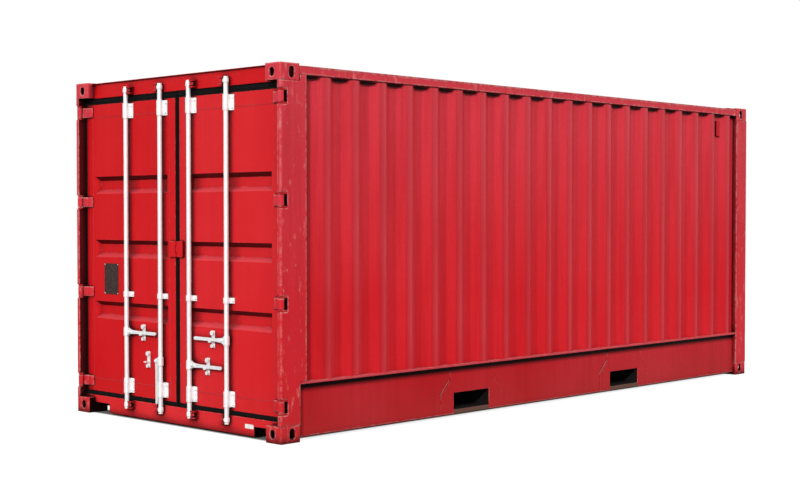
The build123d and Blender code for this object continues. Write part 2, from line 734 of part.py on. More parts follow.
def crests(stop, first, pitch, crest, slope):
    """Where each crest of a corrugated sheet begins, as many as end before stop."""
    count = int((stop - first - crest - slope) // pitch) + 1
    return [first + i * pitch for i in range(count)]


def bent_sheet(line, radius, shift):
    """The section of a corrugated sheet: its front line, rounded at every bend, and the
    same line moved by shift, joined by straight ends."""
    front = FilletPolyline(*line, radius=radius)
    back = Pos(*shift) * front
    ends = [Line(front @ 0, back @ 0), Line(front @ 1, back @ 1)]
    return make_face(front.edges() + back.edges() + ends)


def wave(start, stop, first, pitch, crest, slope, crest_at, valley_at):
    """The zigzag line of a corrugated sheet seen from above, from start to stop.

    first is where the first whole crest begins. The line starts and ends in a valley.
    """
    points = [(start, valley_at)]
    for place in crests(stop, first, pitch, crest, slope):
        points += [(place - slope, valley_at), (place, crest_at),
                   (place + crest, crest_at), (place + crest + slope, valley_at)]
    points.append((stop, valley_at))
    return points


def side_wall():
    """The left wall: one trapezoidal corrugated sheet between the rails."""
    start = DOOR_END + POST_SIDE
    stop = BLIND_END - BLIND_POST_SIDE
    line = wave(start, stop, DOOR_END + FIRST_CREST, SIDE_PITCH, SIDE_CREST, SIDE_SLOPE,
                CREST_Y, VALLEY_Y)
    return upright(bent_sheet(line, SIDE_BEND, (0, -SIDE_SHEET)), LOW_RAIL_TOP,
                   RAIL_TOP - RAIL_TUBE)


def blind_wall():
    """The corrugated sheet that closes the blind end."""
    half = CAST_INNER
    crest_x = BLIND_END - BLIND_CREST_INSET
    count = int((2 * half - BLIND_CREST - 2 * BLIND_SLOPE) // BLIND_PITCH)
    first = -count * BLIND_PITCH / 2 - BLIND_CREST / 2
    line = wave(-half, half, first, BLIND_PITCH, BLIND_CREST, BLIND_SLOPE, crest_x,
                crest_x - BLIND_DEEP)
    across = [(x, y) for y, x in line]
    return upright(bent_sheet(across, BLIND_BEND, (-SIDE_SHEET, 0)),
                   BLIND_SILL_TALL + LOW_RAIL_LOW, RAIL_TOP - BLIND_HEADER_TALL)


def blind_post():
    """The left corner post at the blind end, pressed from one plate."""
    x1 = BLIND_END
    x0 = x1 - BLIND_POST_SIDE
    outer = block(x0, x1, SIDE - POST_PLATE, SIDE, POST_LOW, POST_TOP)
    end = block(x1 - POST_PLATE, x1, CAST_INNER, SIDE, POST_LOW, POST_TOP)
    to_wall = block(x0, x0 + POST_PLATE, VALLEY_Y - SIDE_SHEET, SIDE, POST_LOW, POST_TOP)
    to_end = block(x1 - BLIND_POST_RETURN, x1, CAST_INNER, CAST_INNER + POST_PLATE, POST_LOW,
                   POST_TOP)
    return outer + end + to_wall + to_end


def blind_beam(z0, tall):
    """A rectangular tube across the blind end, between the corner castings."""
    x1 = BLIND_END - BLIND_BEAM_INSET
    return hollow_beam(x1 - BLIND_BEAM_DEEP, x1, -CAST_INNER, CAST_INNER, z0, z0 + tall,
                       BEAM_WALL, "Y")


def stamped_trough(x, z, wide, half_long):
    """A pressing in the roof sheet that narrows on every side as it goes down from z."""
    angle = degrees(atan(ROOF_SLOPE / ROOF_DEEP))
    mouth = Plane(origin=(x, 0, z), x_dir=(1, 0, 0), z_dir=(0, 0, -1))
    return extrude(mouth * Rectangle(wide, 2 * half_long), amount=ROOF_DEEP, dir=(0, 0, -1),
                   taper=angle)


def roof_panel():
    """The roof sheet on the top rails, with a row of stamped troughs across it."""
    x0, x1 = DOOR_END + CAST_X, BLIND_END - CAST_X
    low, high = RAIL_TOP, RAIL_TOP + ROOF_SHEET
    sheet = block(x0, x1, -ROOF_SIDE, ROOF_SIDE, low, high)
    sheet += block(x1, BLIND_END - BLIND_BEAM_INSET, -CAST_INNER, CAST_INNER, low, high)
    wide = ROOF_TROUGH + 2 * ROOF_SLOPE
    half = SIDE - RAIL_INSET - RAIL_TUBE - ROOF_MARGIN
    count = int((x1 - x0 - wide) // ROOF_PITCH)
    places = [(i - (count - 1) / 2) * ROOF_PITCH for i in range(count)]
    sheet += [stamped_trough(x, low, wide, half) for x in places]
    sheet -= [stamped_trough(x, high, wide - ROOF_SHEET, half - ROOF_SHEET / 2) for x in places]
    return sheet


def roof_corner_plate():
    """The raised plate beside the left casting at the blind end."""
    x1 = BLIND_END - CAST_X
    x0 = x1 - CORNER_PLATE_LONG
    low = RAIL_TOP + ROOF_SHEET
    rise, sheet = CORNER_PLATE_RISE, CORNER_PLATE_SHEET
    ramp, toe = x0 + CORNER_PLATE_RAMP, x0 + CORNER_PLATE_TOE
    outline = [(x0, low), (ramp, low + rise), (x1, low + rise), (x1, low + rise - sheet),
               (ramp, low + rise - sheet), (toe, low)]
    face = Plane(origin=(0, ROOF_SIDE, 0), x_dir=(1, 0, 0), z_dir=(0, -1, 0))
    sketch = face * make_face(Polyline(*outline, close=True))
    plate = extrude(sketch, amount=CORNER_PLATE_WIDE, dir=(0, -1, 0))
    skirt = block(toe, x1, ROOF_SIDE - sheet, ROOF_SIDE, low, low + rise - sheet)
    cut = [(toe, low), (ramp, low + rise - sheet), (toe - CUT_OVER, low + rise)]
    wedge = extrude(face * make_face(Polyline(*cut, close=True)), amount=2 * sheet, dir=(0, -1, 0))
    return plate + (skirt - wedge)


def floor_boards():
    """Plywood sheets laid across the box with a narrow joint between neighbours."""
    x0 = DOOR_END + FRAME_FACE + SILL_DEEP + FLOOR_DOOR_GAP
    x1 = BLIND_END - BLIND_BEAM_INSET - BLIND_BEAM_DEEP - FLOOR_BLIND_GAP
    half = VALLEY_Y - SIDE_SHEET - FLOOR_SIDE_GAP
    long = (x1 - x0 - (FLOOR_BOARDS - 1) * FLOOR_JOINT) / FLOOR_BOARDS
    boards = []
    for i in range(FLOOR_BOARDS):
        start = x0 + i * (long + FLOOR_JOINT)
        boards.append(block(start, start + long, -half, half, FLOOR_LOW, FLOOR_TOP))
    return gather(boards)


def cross_members():
    """Channels under the floor from rail to rail, left out where a fork tunnel runs."""
    half = WEB_Y - LOW_RAIL_WALL
    low = LOW_RAIL_LOW + LOW_RAIL_WALL
    clear = POCKET_WIDE / 2 + TUNNEL_WALL + CROSS_WIDE
    first = DOOR_END + CAST_X + CROSS_WIDE
    last = BLIND_END - CAST_X - CROSS_WIDE
    count = int((last - first) // CROSS_PITCH) + 1
    beams = []
    for i in range(count + 1):
        x = first + i * (last - first) / count
        if min(abs(x - middle) for middle in POCKET_PLACES) < clear:
            continue
        x0, x1 = x - CROSS_WIDE / 2, x + CROSS_WIDE / 2
        beam = block(x0, x1, -half, half, low, FLOOR_LOW)
        beam -= block(x0 + CROSS_WALL, x1 + CUT_OVER, -half - CUT_OVER, half + CUT_OVER,
                      low + CROSS_WALL, FLOOR_LOW - CROSS_WALL)
        beams.append(beam)
    return gather(beams)


def fork_tunnels():
    """Two tunnels across the box: roof and side plates, with a strap under each mouth."""
    half = WEB_Y - LOW_RAIL_WALL
    wall = TUNNEL_WALL
    tunnels = []
    for middle in POCKET_PLACES:
        x0, x1 = middle - POCKET_WIDE / 2, middle + POCKET_WIDE / 2
        tunnel = block(x0 - wall, x1 + wall, -half, half, POCKET_LOW - wall, FLOOR_LOW)
        tunnel -= block(x0, x1, -half - CUT_OVER, half + CUT_OVER, POCKET_LOW, POCKET_TOP)
        inner = half - TUNNEL_STRAP
        tunnel -= block(x0, x1, -inner, inner, POCKET_LOW - wall - CUT_OVER, POCKET_TOP)
        tunnels.append(tunnel)
    return gather(tunnels)


def ventilator():
    """The louvred cover in the last whole valley of the left wall, near the top rail."""
    last = crests(BLIND_END - BLIND_POST_SIDE, DOOR_END + FIRST_CREST, SIDE_PITCH, SIDE_CREST,
                  SIDE_SLOPE)[-1]
    valley = SIDE_PITCH - SIDE_CREST - 2 * SIDE_SLOPE
    x = last - SIDE_SLOPE - valley / 2
    middle = RAIL_TOP - VENT_DROP
    z0, z1 = middle - VENT_TALL / 2, middle + VENT_TALL / 2
    cover = block(x - VENT_WIDE / 2, x + VENT_WIDE / 2, VALLEY_Y, VALLEY_Y + VENT_DEEP, z0, z1)
    cover = fillet(cover.faces().sort_by(Axis.Y)[-1].edges(), VENT_EDGE)
    return cover


def both_sides(name, shape):
    """Save a left part and its mirror image on the right."""
    save(name + "_left", shape)
    save(name + "_right", mirrored(shape))


def main():
    """Build every node and write it to its own file."""
    os.makedirs("parts", exist_ok=True)
    for end, name in ((-1, "door_end_castings"), (1, "blind_end_castings")):
        save(name, gather(corner_casting(end, side, level)
                          for side in (1, -1) for level in (-1, 1)))
    both_sides("door_post_outer", door_post_outer())
    both_sides("door_post_channel", door_post_channel())
    both_sides("hinge_lugs", hinge_lugs())
    both_sides("blind_post", blind_post())
    both_sides("top_rail", top_rail())
    both_sides("bottom_rail", bottom_rail())
    both_sides("side_wall", side_wall())
    save("door_header", door_header())
    save("door_sill", door_sill())
    save("blind_header", blind_beam(RAIL_TOP - BLIND_HEADER_TALL, BLIND_HEADER_TALL))
    save("blind_sill", blind_beam(LOW_RAIL_LOW, BLIND_SILL_TALL))
    save("blind_wall", blind_wall())
    save("roof_panel", roof_panel())
    plate = roof_corner_plate()
    save("roof_corner_plates", gather([plate, mirrored(plate)]))
    save("floor_boards", floor_boards())
    save("cross_members", cross_members())
    save("fork_tunnels", fork_tunnels())
    vent = ventilator()
    save("ventilators", gather([vent, mirrored(vent)]))
    for z, name in zip(CAM_HEIGHTS, ("cam_keepers_bottom", "cam_keepers_top")):
        save(name, gather(keeper(bar, z) for bar in range(len(BAR_PLACES))))

    both_sides("door_frame", leaf_frame())
    both_sides("door_panel", leaf_panel())
    both_sides("door_gasket", leaf_gasket())
    both_sides("hinge_blades", hinge_blades())
    save("rack_block_left", rack_block_left())
    save("rack_block_right", rack_block_right())
    for bars, name in (((0, 1), "left"), ((2, 3), "right")):
        save("bar_guides_" + name, bar_guides(bars))
        save("handle_catches_" + name, gather(handle_catch(bar) for bar in bars))
    for bar in range(len(BAR_PLACES)):
        save("lock_bar_%d" % (bar + 1), lock_bar(bar))
        save("lock_cams_%d" % (bar + 1), gather(cam(bar, z) for z in CAM_HEIGHTS))
        save("handle_%d" % (bar + 1), handle(bar))


main()
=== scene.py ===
# %% [markdown]
# # A weathered twenty-foot shipping container
# This notebook dresses the steel container that was built as a set of exact solids.
# The solids already have their real size and place, so the work here is the finish:
# enamel that has stood outside for years, zinc-coated lock gear, rubber seals, plywood,
# and the small things that a welder and a painter leave behind.
# Every length is in metres, X runs from the doors to the blind end, and Z is up.

# %% Load the container as a fixed frame
import math

import bpy
import numpy as np
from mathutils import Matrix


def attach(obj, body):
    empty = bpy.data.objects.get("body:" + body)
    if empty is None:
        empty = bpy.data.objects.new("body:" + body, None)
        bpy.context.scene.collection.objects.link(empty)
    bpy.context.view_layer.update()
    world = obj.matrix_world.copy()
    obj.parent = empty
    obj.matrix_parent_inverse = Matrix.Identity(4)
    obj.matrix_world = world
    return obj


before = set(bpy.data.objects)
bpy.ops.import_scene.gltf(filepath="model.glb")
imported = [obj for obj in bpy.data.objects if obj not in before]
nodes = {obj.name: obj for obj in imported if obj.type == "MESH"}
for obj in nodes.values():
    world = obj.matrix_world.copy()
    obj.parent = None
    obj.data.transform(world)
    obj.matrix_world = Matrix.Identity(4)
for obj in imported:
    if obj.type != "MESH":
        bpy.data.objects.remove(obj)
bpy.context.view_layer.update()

# %% [markdown]
# ## Sizes that the finish and the small pieces share
# Dirt, chalk and weld beads have to lie where the steel is, so the few sizes of the solids
# that they follow are named once. The side sheet is a zigzag of flat crests, slopes and
# valleys that repeats every 278.5 mm.

# %% Shared sizes
END, SIDE, TOP = 3.029, 1.219, 2.591
WEB = 1.181
POCKET_MIDDLE = 1.025
WAVE_PITCH, CREST, SLOPE = 0.2785, 0.072, 0.068
FIRST_CREST = -END + 0.397
BAR_OUTER, BAR_INNER = 0.600, 0.173
print("waves every", WAVE_PITCH, "from", FIRST_CREST)

# %% [markdown]
# ## Helpers for colours and nodes
# Paint colours are chosen on a screen, so they are written as hex values and turned to
# linear light in one place. One function adds a node with its settings and its links. A
# weathered surface is built as it came about, coat over coat, so one function lays a
# further colour over whatever the material shows so far.

# %% Colours, nodes and coats


def linear(hex_colour):
    """sRGB hex to linear light: c / 12.92 below 0.04045, else ((c + 0.055) / 1.055) ^ 2.4."""
    channels = np.array([int(hex_colour[i:i + 2], 16) / 255 for i in (0, 2, 4)])
    light = np.where(channels <= 0.04045, channels / 12.92, ((channels + 0.055) / 1.055) ** 2.4)
    return (*light.tolist(), 1.0)


def add_node(tree, kind, inputs=None, **settings):
    """Adds one node, sets its properties, and fills its sockets with values or links.

    A node that is given as a value stands for its first output.
    """
    node = tree.nodes.new(kind)
    for name, value in settings.items():
        setattr(node, name, value)
    for socket, value in (inputs or {}).items():
        if isinstance(value, bpy.types.Node):
            value = value.outputs[0]
        if isinstance(value, bpy.types.NodeSocket):
            tree.links.new(value, node.inputs[socket])
        else:
            node.inputs[socket].default_value = value
    return node


def new_material(name, hex_colour):
    """A material with its Principled shader in one colour, and the Object coordinates."""
    material = bpy.data.materials.new(name)
    material.use_nodes = True
    tree = material.node_tree
    tree.nodes.clear()
    shader = add_node(tree, "ShaderNodeBsdfPrincipled", {"Base Color": linear(hex_colour)})
    add_node(tree, "ShaderNodeOutputMaterial", {"Surface": shader})
    place = add_node(tree, "ShaderNodeTexCoord").outputs["Object"]
    return material, tree, shader, place


def lay_over(tree, share, hex_colour):
    """A further coat: colour = (1 - share) what shows so far + share of the new colour."""
    shader = next(node for node in tree.nodes if node.type == "BSDF_PRINCIPLED")
    shown = shader.inputs["Base Color"]
    below = shown.links[0].from_socket if shown.is_linked else tuple(shown.default_value)
    coat = add_node(tree, "ShaderNodeMix", {0: share, 6: below, 7: linear(hex_colour)},
                    data_type="RGBA")
    tree.links.new(coat.outputs[2], shown)


print("screen grey 808080 is", linear("808080")[0], "in linear light")

# %% [markdown]
# ## The camera
# The picture was taken from a standing height, a little over six metres from the near
# corner, with a moderately long lens. The level edges of the box meet at vanishing points,
# which give the direction, and the castings at the corners give the distance.

# %% Camera at the photograph's viewpoint
LENS = 64.26
CAMERA_PLACE = (-9.421, -8.471, 1.562)
CAMERA_TURN = -46.17
CAMERA_DIP = 1.45

camera_data = bpy.data.cameras.new("camera")
camera_data.lens = LENS
camera_data.sensor_width = 36.0
camera_data.clip_end = 500.0
camera = bpy.data.objects.new("camera", camera_data)
camera.location = CAMERA_PLACE
camera.rotation_euler = (math.radians(90 - CAMERA_DIP), 0.0, math.radians(CAMERA_TURN))
bpy.context.scene.collection.objects.link(camera)
bpy.context.scene.camera = camera
bpy.context.scene.view_settings.view_transform = "Standard"
print("camera at", CAMERA_PLACE)

# %% [markdown]
# ## Floor
# The box stands on pale paper, as in a very large studio. The paper glows for the camera
# alone, so that it looks white without lighting the steel from below. Under the box it
# doesn't glow, so the shade there stays dark.

# %% A pale floor that glows only for the camera
FLOOR_HALF = 120.0
FLOOR_Z = -0.001
SHADE_END, SHADE_SIDE, SHADE_SOFT = 2.98, 1.09, 0.02

floor_mesh = bpy.data.meshes.new("studio_floor")
corners = FLOOR_HALF * np.array([[-1, -1], [1, -1], [1, 1], [-1, 1]])
floor_mesh.from_pydata(np.column_stack([corners, np.full(4, FLOOR_Z)]).tolist(), [],
                       [[0, 1, 2, 3]])
floor = bpy.data.objects.new("studio_floor", floor_mesh)
bpy.context.scene.collection.objects.link(floor)

paper = bpy.data.materials.new("pale_floor_paper")
paper.use_nodes = True
tree = paper.node_tree
tree.nodes.clear()
diffuse = add_node(tree, "ShaderNodeBsdfDiffuse", {"Color": linear("848382")})
place = add_node(tree, "ShaderNodeTexCoord").outputs["Object"]
place = add_node(tree, "ShaderNodeVectorMath", {0: place}, operation="ABSOLUTE")
place = add_node(tree, "ShaderNodeSeparateXYZ", {0: place})
past_end = add_node(tree, "ShaderNodeMath", {0: place.outputs["X"], 1: SHADE_END},
                    operation="SUBTRACT")
past_side = add_node(tree, "ShaderNodeMath", {0: place.outputs["Y"], 1: SHADE_SIDE},
                     operation="SUBTRACT")
outside = add_node(tree, "ShaderNodeMath", {0: past_end, 1: past_side}, operation="MAXIMUM")
glow = add_node(tree, "ShaderNodeMapRange", {"Value": outside, "From Min": -SHADE_SOFT,
                                             "From Max": SHADE_SOFT})
looked_at = add_node(tree, "ShaderNodeLightPath").outputs["Is Camera Ray"]
glow = add_node(tree, "ShaderNodeMath", {0: glow, 1: looked_at}, operation="MULTIPLY")
lift = add_node(tree, "ShaderNodeEmission", {"Color": linear("F0F0F0"), "Strength": glow})
both = add_node(tree, "ShaderNodeAddShader", {0: diffuse, 1: lift})
add_node(tree, "ShaderNodeOutputMaterial", {"Surface": both})
floor_mesh.materials.append(paper)
print("floor", 2 * FLOOR_HALF, "metres wide")

# %% [markdown]
# ## Sky and lamps
# The light in the photograph is bright and even, so a plain white sky gives most of it. It
# is white to the camera and to reflections, and dimmer as a light, so that pale steel
# doesn't burn out. A low lamp in front of the doors, a little towards the long side, gives
# the lock bars and the waves of the sheet their shadows. A wider, weaker one fills the long
# side.

# %% Even sky and two distant lamps
SKY_STRENGTH = 0.75
KEY_STRENGTH = 2.15
FILL_STRENGTH = 0.3

world = bpy.data.worlds.new("even_sky")
bpy.context.scene.world = world
world.use_nodes = True
tree = world.node_tree
tree.nodes.clear()
ray = add_node(tree, "ShaderNodeLightPath").outputs
seen = add_node(tree, "ShaderNodeMath", {0: ray["Is Camera Ray"], 1: ray["Is Glossy Ray"]},
                operation="MAXIMUM")
seen = add_node(tree, "ShaderNodeMath", {0: seen, 1: ray["Is Transmission Ray"]},
                operation="MAXIMUM")
level = add_node(tree, "ShaderNodeMapRange", {"Value": seen, "To Min": SKY_STRENGTH})
shine = add_node(tree, "ShaderNodeBackground", {"Color": (1, 1, 1, 1), "Strength": level})
add_node(tree, "ShaderNodeOutputWorld", {"Surface": shine})


def sun(name, towards, strength, spread):
    """A distant lamp: its light comes from the direction towards, spread over some degrees."""
    data = bpy.data.lights.new(name, "SUN")
    data.energy = strength
    data.angle = math.radians(spread)
    lamp = bpy.data.objects.new(name, data)
    x, y, z = towards
    lamp.rotation_euler = (math.atan2(math.hypot(x, y), z), 0.0, math.atan2(y, x) + math.pi / 2)
    bpy.context.scene.collection.objects.link(lamp)


sun("key_lamp", (-0.76, -0.48, 0.42), KEY_STRENGTH, 3.5)
sun("fill_lamp", (-0.20, -0.72, 0.66), FILL_STRENGTH, 7)
print("lamps", KEY_STRENGTH, FILL_STRENGTH, "sky", SKY_STRENGTH)

# %% [markdown]
# ## Sprayed container enamel
# Container steel is shot-blasted, primed with zinc and sprayed with a thick alkyd or
# acrylic enamel, usually one strong colour. Outdoors it ages in layers: it fades and
# chalks, rain pulls dirt down the walls, and every edge that a strap, a fork or a
# neighbouring box has touched is rubbed pale, with rust at the middle of the rub. Each
# layer is drawn here from noise in real sizes on Object coordinates, so it never repeats.
# The first layer is the paint with its fading, streaks and splashes.

# %% Paint that fades, bleaches, streaks and gets splashed
BLEACHED = "D34451"
ROAD_DIRT = "6E4B40"


def weather(tree, place, faded, dark, dirt, bleach):
    """Lays on patches of faded paint, bleached tops, rain streaks, mottle and splashes."""
    broad = add_node(tree, "ShaderNodeTexNoise", {"Vector": place, "Scale": 0.9, "Detail": 3.0})
    fade = add_node(tree, "ShaderNodeMapRange", {"Value": broad, "From Min": 0.35,
                                                 "From Max": 0.65})
    lay_over(tree, fade, faded)

    # Sun has bleached the upper half towards pink, and the lower half keeps a warmer red.
    height = add_node(tree, "ShaderNodeSeparateXYZ", {0: place}).outputs["Z"]
    high = add_node(tree, "ShaderNodeMapRange", {"Value": height, "From Min": 0.9,
                                                 "From Max": 2.3, "To Max": bleach})
    lay_over(tree, high, BLEACHED)

    # Streaks are about 60 mm wide and over a metre long, and stains 26 mm across.
    fall = add_node(tree, "ShaderNodeMapping", {"Vector": place, "Scale": (16.0, 16.0, 0.8)})
    rain = add_node(tree, "ShaderNodeTexNoise", {"Vector": fall, "Scale": 1.0, "Detail": 4.0,
                                                 "Roughness": 0.6})
    streak = add_node(tree, "ShaderNodeMapRange", {"Value": rain, "From Min": 0.46,
                                                   "From Max": 0.74, "To Max": dirt})
    lay_over(tree, streak, dark)

    mottle = add_node(tree, "ShaderNodeTexNoise", {"Vector": place, "Scale": 38.0,
                                                   "Detail": 4.0, "Roughness": 0.7})
    spots = add_node(tree, "ShaderNodeMapRange", {"Value": mottle, "From Min": 0.35,
                                                  "From Max": 0.7, "To Max": 0.16})
    lay_over(tree, spots, dark)

    # Road dirt thrown up on the lowest 400 mm, broken up by the mottle.
    splash = add_node(tree, "ShaderNodeMapRange", {"Value": height, "From Min": 0.4,
                                                   "From Max": 0.0, "To Max": dirt})
    splash = add_node(tree, "ShaderNodeMath", {0: splash, 1: mottle}, operation="MULTIPLY")
    lay_over(tree, splash, ROAD_DIRT)
    return broad, mottle


print("sun bleaches towards", BLEACHED, "and splashes leave", ROAD_DIRT)

# %% [markdown]
# ## Rubbed edges, scuffs and rust
# Knocks take the paint off where steel stands proud. The Bevel node gives the normal of
# a rounded copy of the piece, which differs from the flat one only near an edge, so the
# difference marks the rubbed band without any change to the mesh. Noise breaks the band
# into chips, and rust sits where two noises of different size are both high.

# %% Edges, scuffs and rust
PRIMER_RUB = "E3A9A2"
SCUFF = "E0857F"
RUST = "7A3A22"
NARROW_EDGE = 0.007


def knock(tree, place, normal, rub, rust, edge_wide, scuffs):
    """Lays on chipped edges, upright scuffs on the flats, and blooms of rust.

    edge = how far the dot product of the flat and the rounded normal has fallen below 1.
    """
    wider = edge_wide - NARROW_EDGE
    round_edge = add_node(tree, "ShaderNodeBevel", {"Radius": edge_wide}, samples=6)
    turn = add_node(tree, "ShaderNodeVectorMath", {0: normal, 1: round_edge},
                    operation="DOT_PRODUCT").outputs["Value"]
    edge = add_node(tree, "ShaderNodeMapRange", {"Value": turn, "From Min": 0.94 + 3.0 * wider,
                                                 "From Max": 0.80 + 7.0 * wider})
    # Chips and scuffs are about 40 mm wide, and the scuffs 110 mm tall.
    chips = add_node(tree, "ShaderNodeTexNoise", {"Vector": place, "Scale": 26.0, "Detail": 5.0,
                                                  "Roughness": 0.65})
    chip = add_node(tree, "ShaderNodeMapRange", {"Value": chips, "From Min": 0.60 - 0.2 * rub,
                                                 "From Max": 0.73 - 0.2 * rub, "To Max": 0.8})
    worn = add_node(tree, "ShaderNodeMath", {0: edge, 1: chip}, operation="MULTIPLY")
    lay_over(tree, worn, PRIMER_RUB)

    tall = add_node(tree, "ShaderNodeMapping", {"Vector": place, "Scale": (26.0, 26.0, 9.0)})
    marks = add_node(tree, "ShaderNodeTexNoise", {"Vector": tall, "Scale": 1.0, "Detail": 3.0,
                                                  "Roughness": 0.6})
    scuffed = add_node(tree, "ShaderNodeMapRange", {"Value": marks, "From Min": 0.60,
                                                    "From Max": 0.76, "To Max": scuffs})
    lay_over(tree, scuffed, SCUFF)

    # Blooms are about 320 mm across, and the pits in them 14 mm.
    bloom = add_node(tree, "ShaderNodeTexNoise", {"Vector": place, "Scale": 3.1, "Detail": 2.0})
    bloom = add_node(tree, "ShaderNodeMapRange", {"Value": bloom, "From Min": 0.52,
                                                  "From Max": 0.72})
    pit = add_node(tree, "ShaderNodeTexNoise", {"Vector": place, "Scale": 70.0, "Detail": 3.0,
                                                "Roughness": 0.6})
    pit = add_node(tree, "ShaderNodeMapRange", {"Value": pit, "From Min": 0.76 - 0.1 * rust,
                                                "From Max": 0.84 - 0.1 * rust})
    rusted = add_node(tree, "ShaderNodeMath", {0: bloom, 1: pit}, operation="MULTIPLY")
    lay_over(tree, rusted, RUST)
    return round_edge


print("edges show", PRIMER_RUB, "and then rust,", RUST)

# %% [markdown]
# ## Chalk and painted light on the waves, dust and painted shade
# On the long walls the crests are chalked most, along the rim away from the doors, and that
# rim also gets a painted highlight, while the lee slope behind each rim is painted brighter,
# as painted light on a side that the lamps leave in shade. PINGPONG turns X into the
# distance to the nearest rim, so one pair of nodes serves all twenty waves. Dust lies on
# what faces up, with painted sky light on it. Painted shade lies where little sky is seen,
# which ambient occlusion measures, and on every face that looks down, under each ledge.

# %% Wave chalk and painted light, dust and painted shade
RIM_START = FIRST_CREST + CREST - 0.006
# Rim chalk with a painted highlight, and painted light for the lee slopes.
RIM_CHALK_AND_HIGHLIGHT = "DE6A74"
LEE_PAINTED_LIGHT = "F03A44"
DUST_AND_SKY_LIGHT = "C0707A"
# Near-black red for painted shade and painted shadows.
PAINTED_SHADE = "140506"


def chalk_and_light_waves(tree, place, tilt, broad, rims):
    """Lays chalk and a painted highlight on the crests, and painted light on the lee slopes.

    chalk and highlight = rims (55 mm - distance to the far rim) / 52 mm, times |normal Y|
    and patches.
    """
    along = add_node(tree, "ShaderNodeSeparateXYZ", {0: place}).outputs["X"]
    along = add_node(tree, "ShaderNodeMath", {0: along, 1: RIM_START}, operation="SUBTRACT")
    along = add_node(tree, "ShaderNodeMath", {0: along, 1: WAVE_PITCH / 2},
                     operation="PINGPONG")
    rim = add_node(tree, "ShaderNodeMapRange", {"Value": along, "From Min": 0.055,
                                                "From Max": 0.003, "To Max": rims})
    facing_out = add_node(tree, "ShaderNodeMath", {0: tilt["Y"]}, operation="ABSOLUTE")
    rim = add_node(tree, "ShaderNodeMath", {0: rim, 1: facing_out}, operation="MULTIPLY")
    patchy = add_node(tree, "ShaderNodeMapRange", {"Value": broad, "From Min": 0.3,
                                                   "From Max": 0.6, "To Min": 0.35})
    rim = add_node(tree, "ShaderNodeMath", {0: rim, 1: patchy}, operation="MULTIPLY")
    lay_over(tree, rim, RIM_CHALK_AND_HIGHLIGHT)
    # Painted light: the lee slopes, which the lamps leave in shade, are painted brighter.
    lee = add_node(tree, "ShaderNodeMapRange", {"Value": tilt["X"], "From Min": 0.2,
                                                "From Max": 0.4, "To Max": 2.5 * rims})
    lay_over(tree, lee, LEE_PAINTED_LIGHT)


def dust_and_shade(tree, tilt, shade_share):
    """Lays dust with painted sky light on faces that look up, then painted shade in nooks and
    under ledges.
    """
    # Dust, and painted sky light: faces that look up are painted paler.
    dusty = add_node(tree, "ShaderNodeMapRange", {"Value": tilt["Z"], "From Min": 0.3,
                                                  "From Max": 0.8, "To Max": 0.26})
    lay_over(tree, dusty, DUST_AND_SKY_LIGHT)
    # Painted shade: darker where ambient occlusion sees little sky, and on faces that look down.
    sky = add_node(tree, "ShaderNodeAmbientOcclusion", {"Distance": 0.10}, samples=6)
    nook = add_node(tree, "ShaderNodeMapRange", {"Value": sky.outputs["AO"], "From Min": 0.80,
                                                 "From Max": 0.56, "To Max": shade_share})
    under = add_node(tree, "ShaderNodeMapRange", {"Value": tilt["Z"], "From Min": -0.2,
                                                  "From Max": -0.66, "To Max": 0.9 * shade_share})
    shaded = add_node(tree, "ShaderNodeMath", {0: nook, 1: under}, operation="MAXIMUM")
    lay_over(tree, shaded, PAINTED_SHADE)


print("far rims every", WAVE_PITCH, "from", RIM_START)

# %% [markdown]
# ## The whole recipe
# The coats go on in the order in which they came to the real steel, and the painted light
# and painted shade go on after the wear. The sprayed surface itself is satin: it shines
# unevenly, its orange peel is about 3 mm across, and the sheet waves slightly over 300 mm.
# Every setting that differs between the walls, the leaves and the posts is an argument, so
# one recipe serves all of the red steel.

# %% Enamel, with all its coats


def container_enamel(name, fresh, faded, dark, rub=0.5, dirt=0.3, rust=0.5, bleach=0.0,
                     rims=0.0, edge_wide=NARROW_EDGE, shade_share=0.96, scuffs=0.0):
    """Sprayed steel, whose reds are fresh, faded and dark.

    edge_wide is the width of a rubbed edge, and the other settings are shares of one coat
    each.
    """
    material, tree, shader, place = new_material(name, fresh)
    normal = add_node(tree, "ShaderNodeNewGeometry").outputs["Normal"]
    tilt = add_node(tree, "ShaderNodeSeparateXYZ", {0: normal}).outputs
    broad, mottle = weather(tree, place, faded, dark, dirt, bleach)
    round_edge = knock(tree, place, normal, rub, rust, edge_wide, scuffs)
    if rims:
        chalk_and_light_waves(tree, place, tilt, broad, rims)
    dust_and_shade(tree, tilt, shade_share)

    gloss = add_node(tree, "ShaderNodeMapRange", {"Value": mottle, "From Min": 0.3,
                                                  "From Max": 0.7, "To Min": 0.30,
                                                  "To Max": 0.46})
    tree.links.new(gloss.outputs[0], shader.inputs["Roughness"])
    shader.inputs["Specular IOR Level"].default_value = 0.07
    peel = add_node(tree, "ShaderNodeTexNoise", {"Vector": place, "Scale": 320.0, "Detail": 2.0})
    waves = add_node(tree, "ShaderNodeTexNoise", {"Vector": place, "Scale": 3.3, "Detail": 2.0})
    soft = add_node(tree, "ShaderNodeBump", {"Height": waves, "Strength": 0.35,
                                             "Distance": 0.012, "Normal": round_edge})
    fine = add_node(tree, "ShaderNodeBump", {"Height": peel, "Strength": 0.12,
                                             "Distance": 0.001, "Normal": soft})
    tree.links.new(fine.outputs[0], shader.inputs["Normal"])
    return material


print("enamel for rubbed edges", 1000 * NARROW_EDGE, "mm wide, or wider")

# %% [markdown]
# ## Painted shade and wear at known places
# Painted shade lies under the upper rails, inside the low castings and behind the sill's
# front, and wear below each fork pocket. There a coordinate decides instead of noise.
# A ramp goes from 0 to 1 over a few millimetres, and the product of some ramps is a box
# with soft sides.

# %% Ramps on coordinates


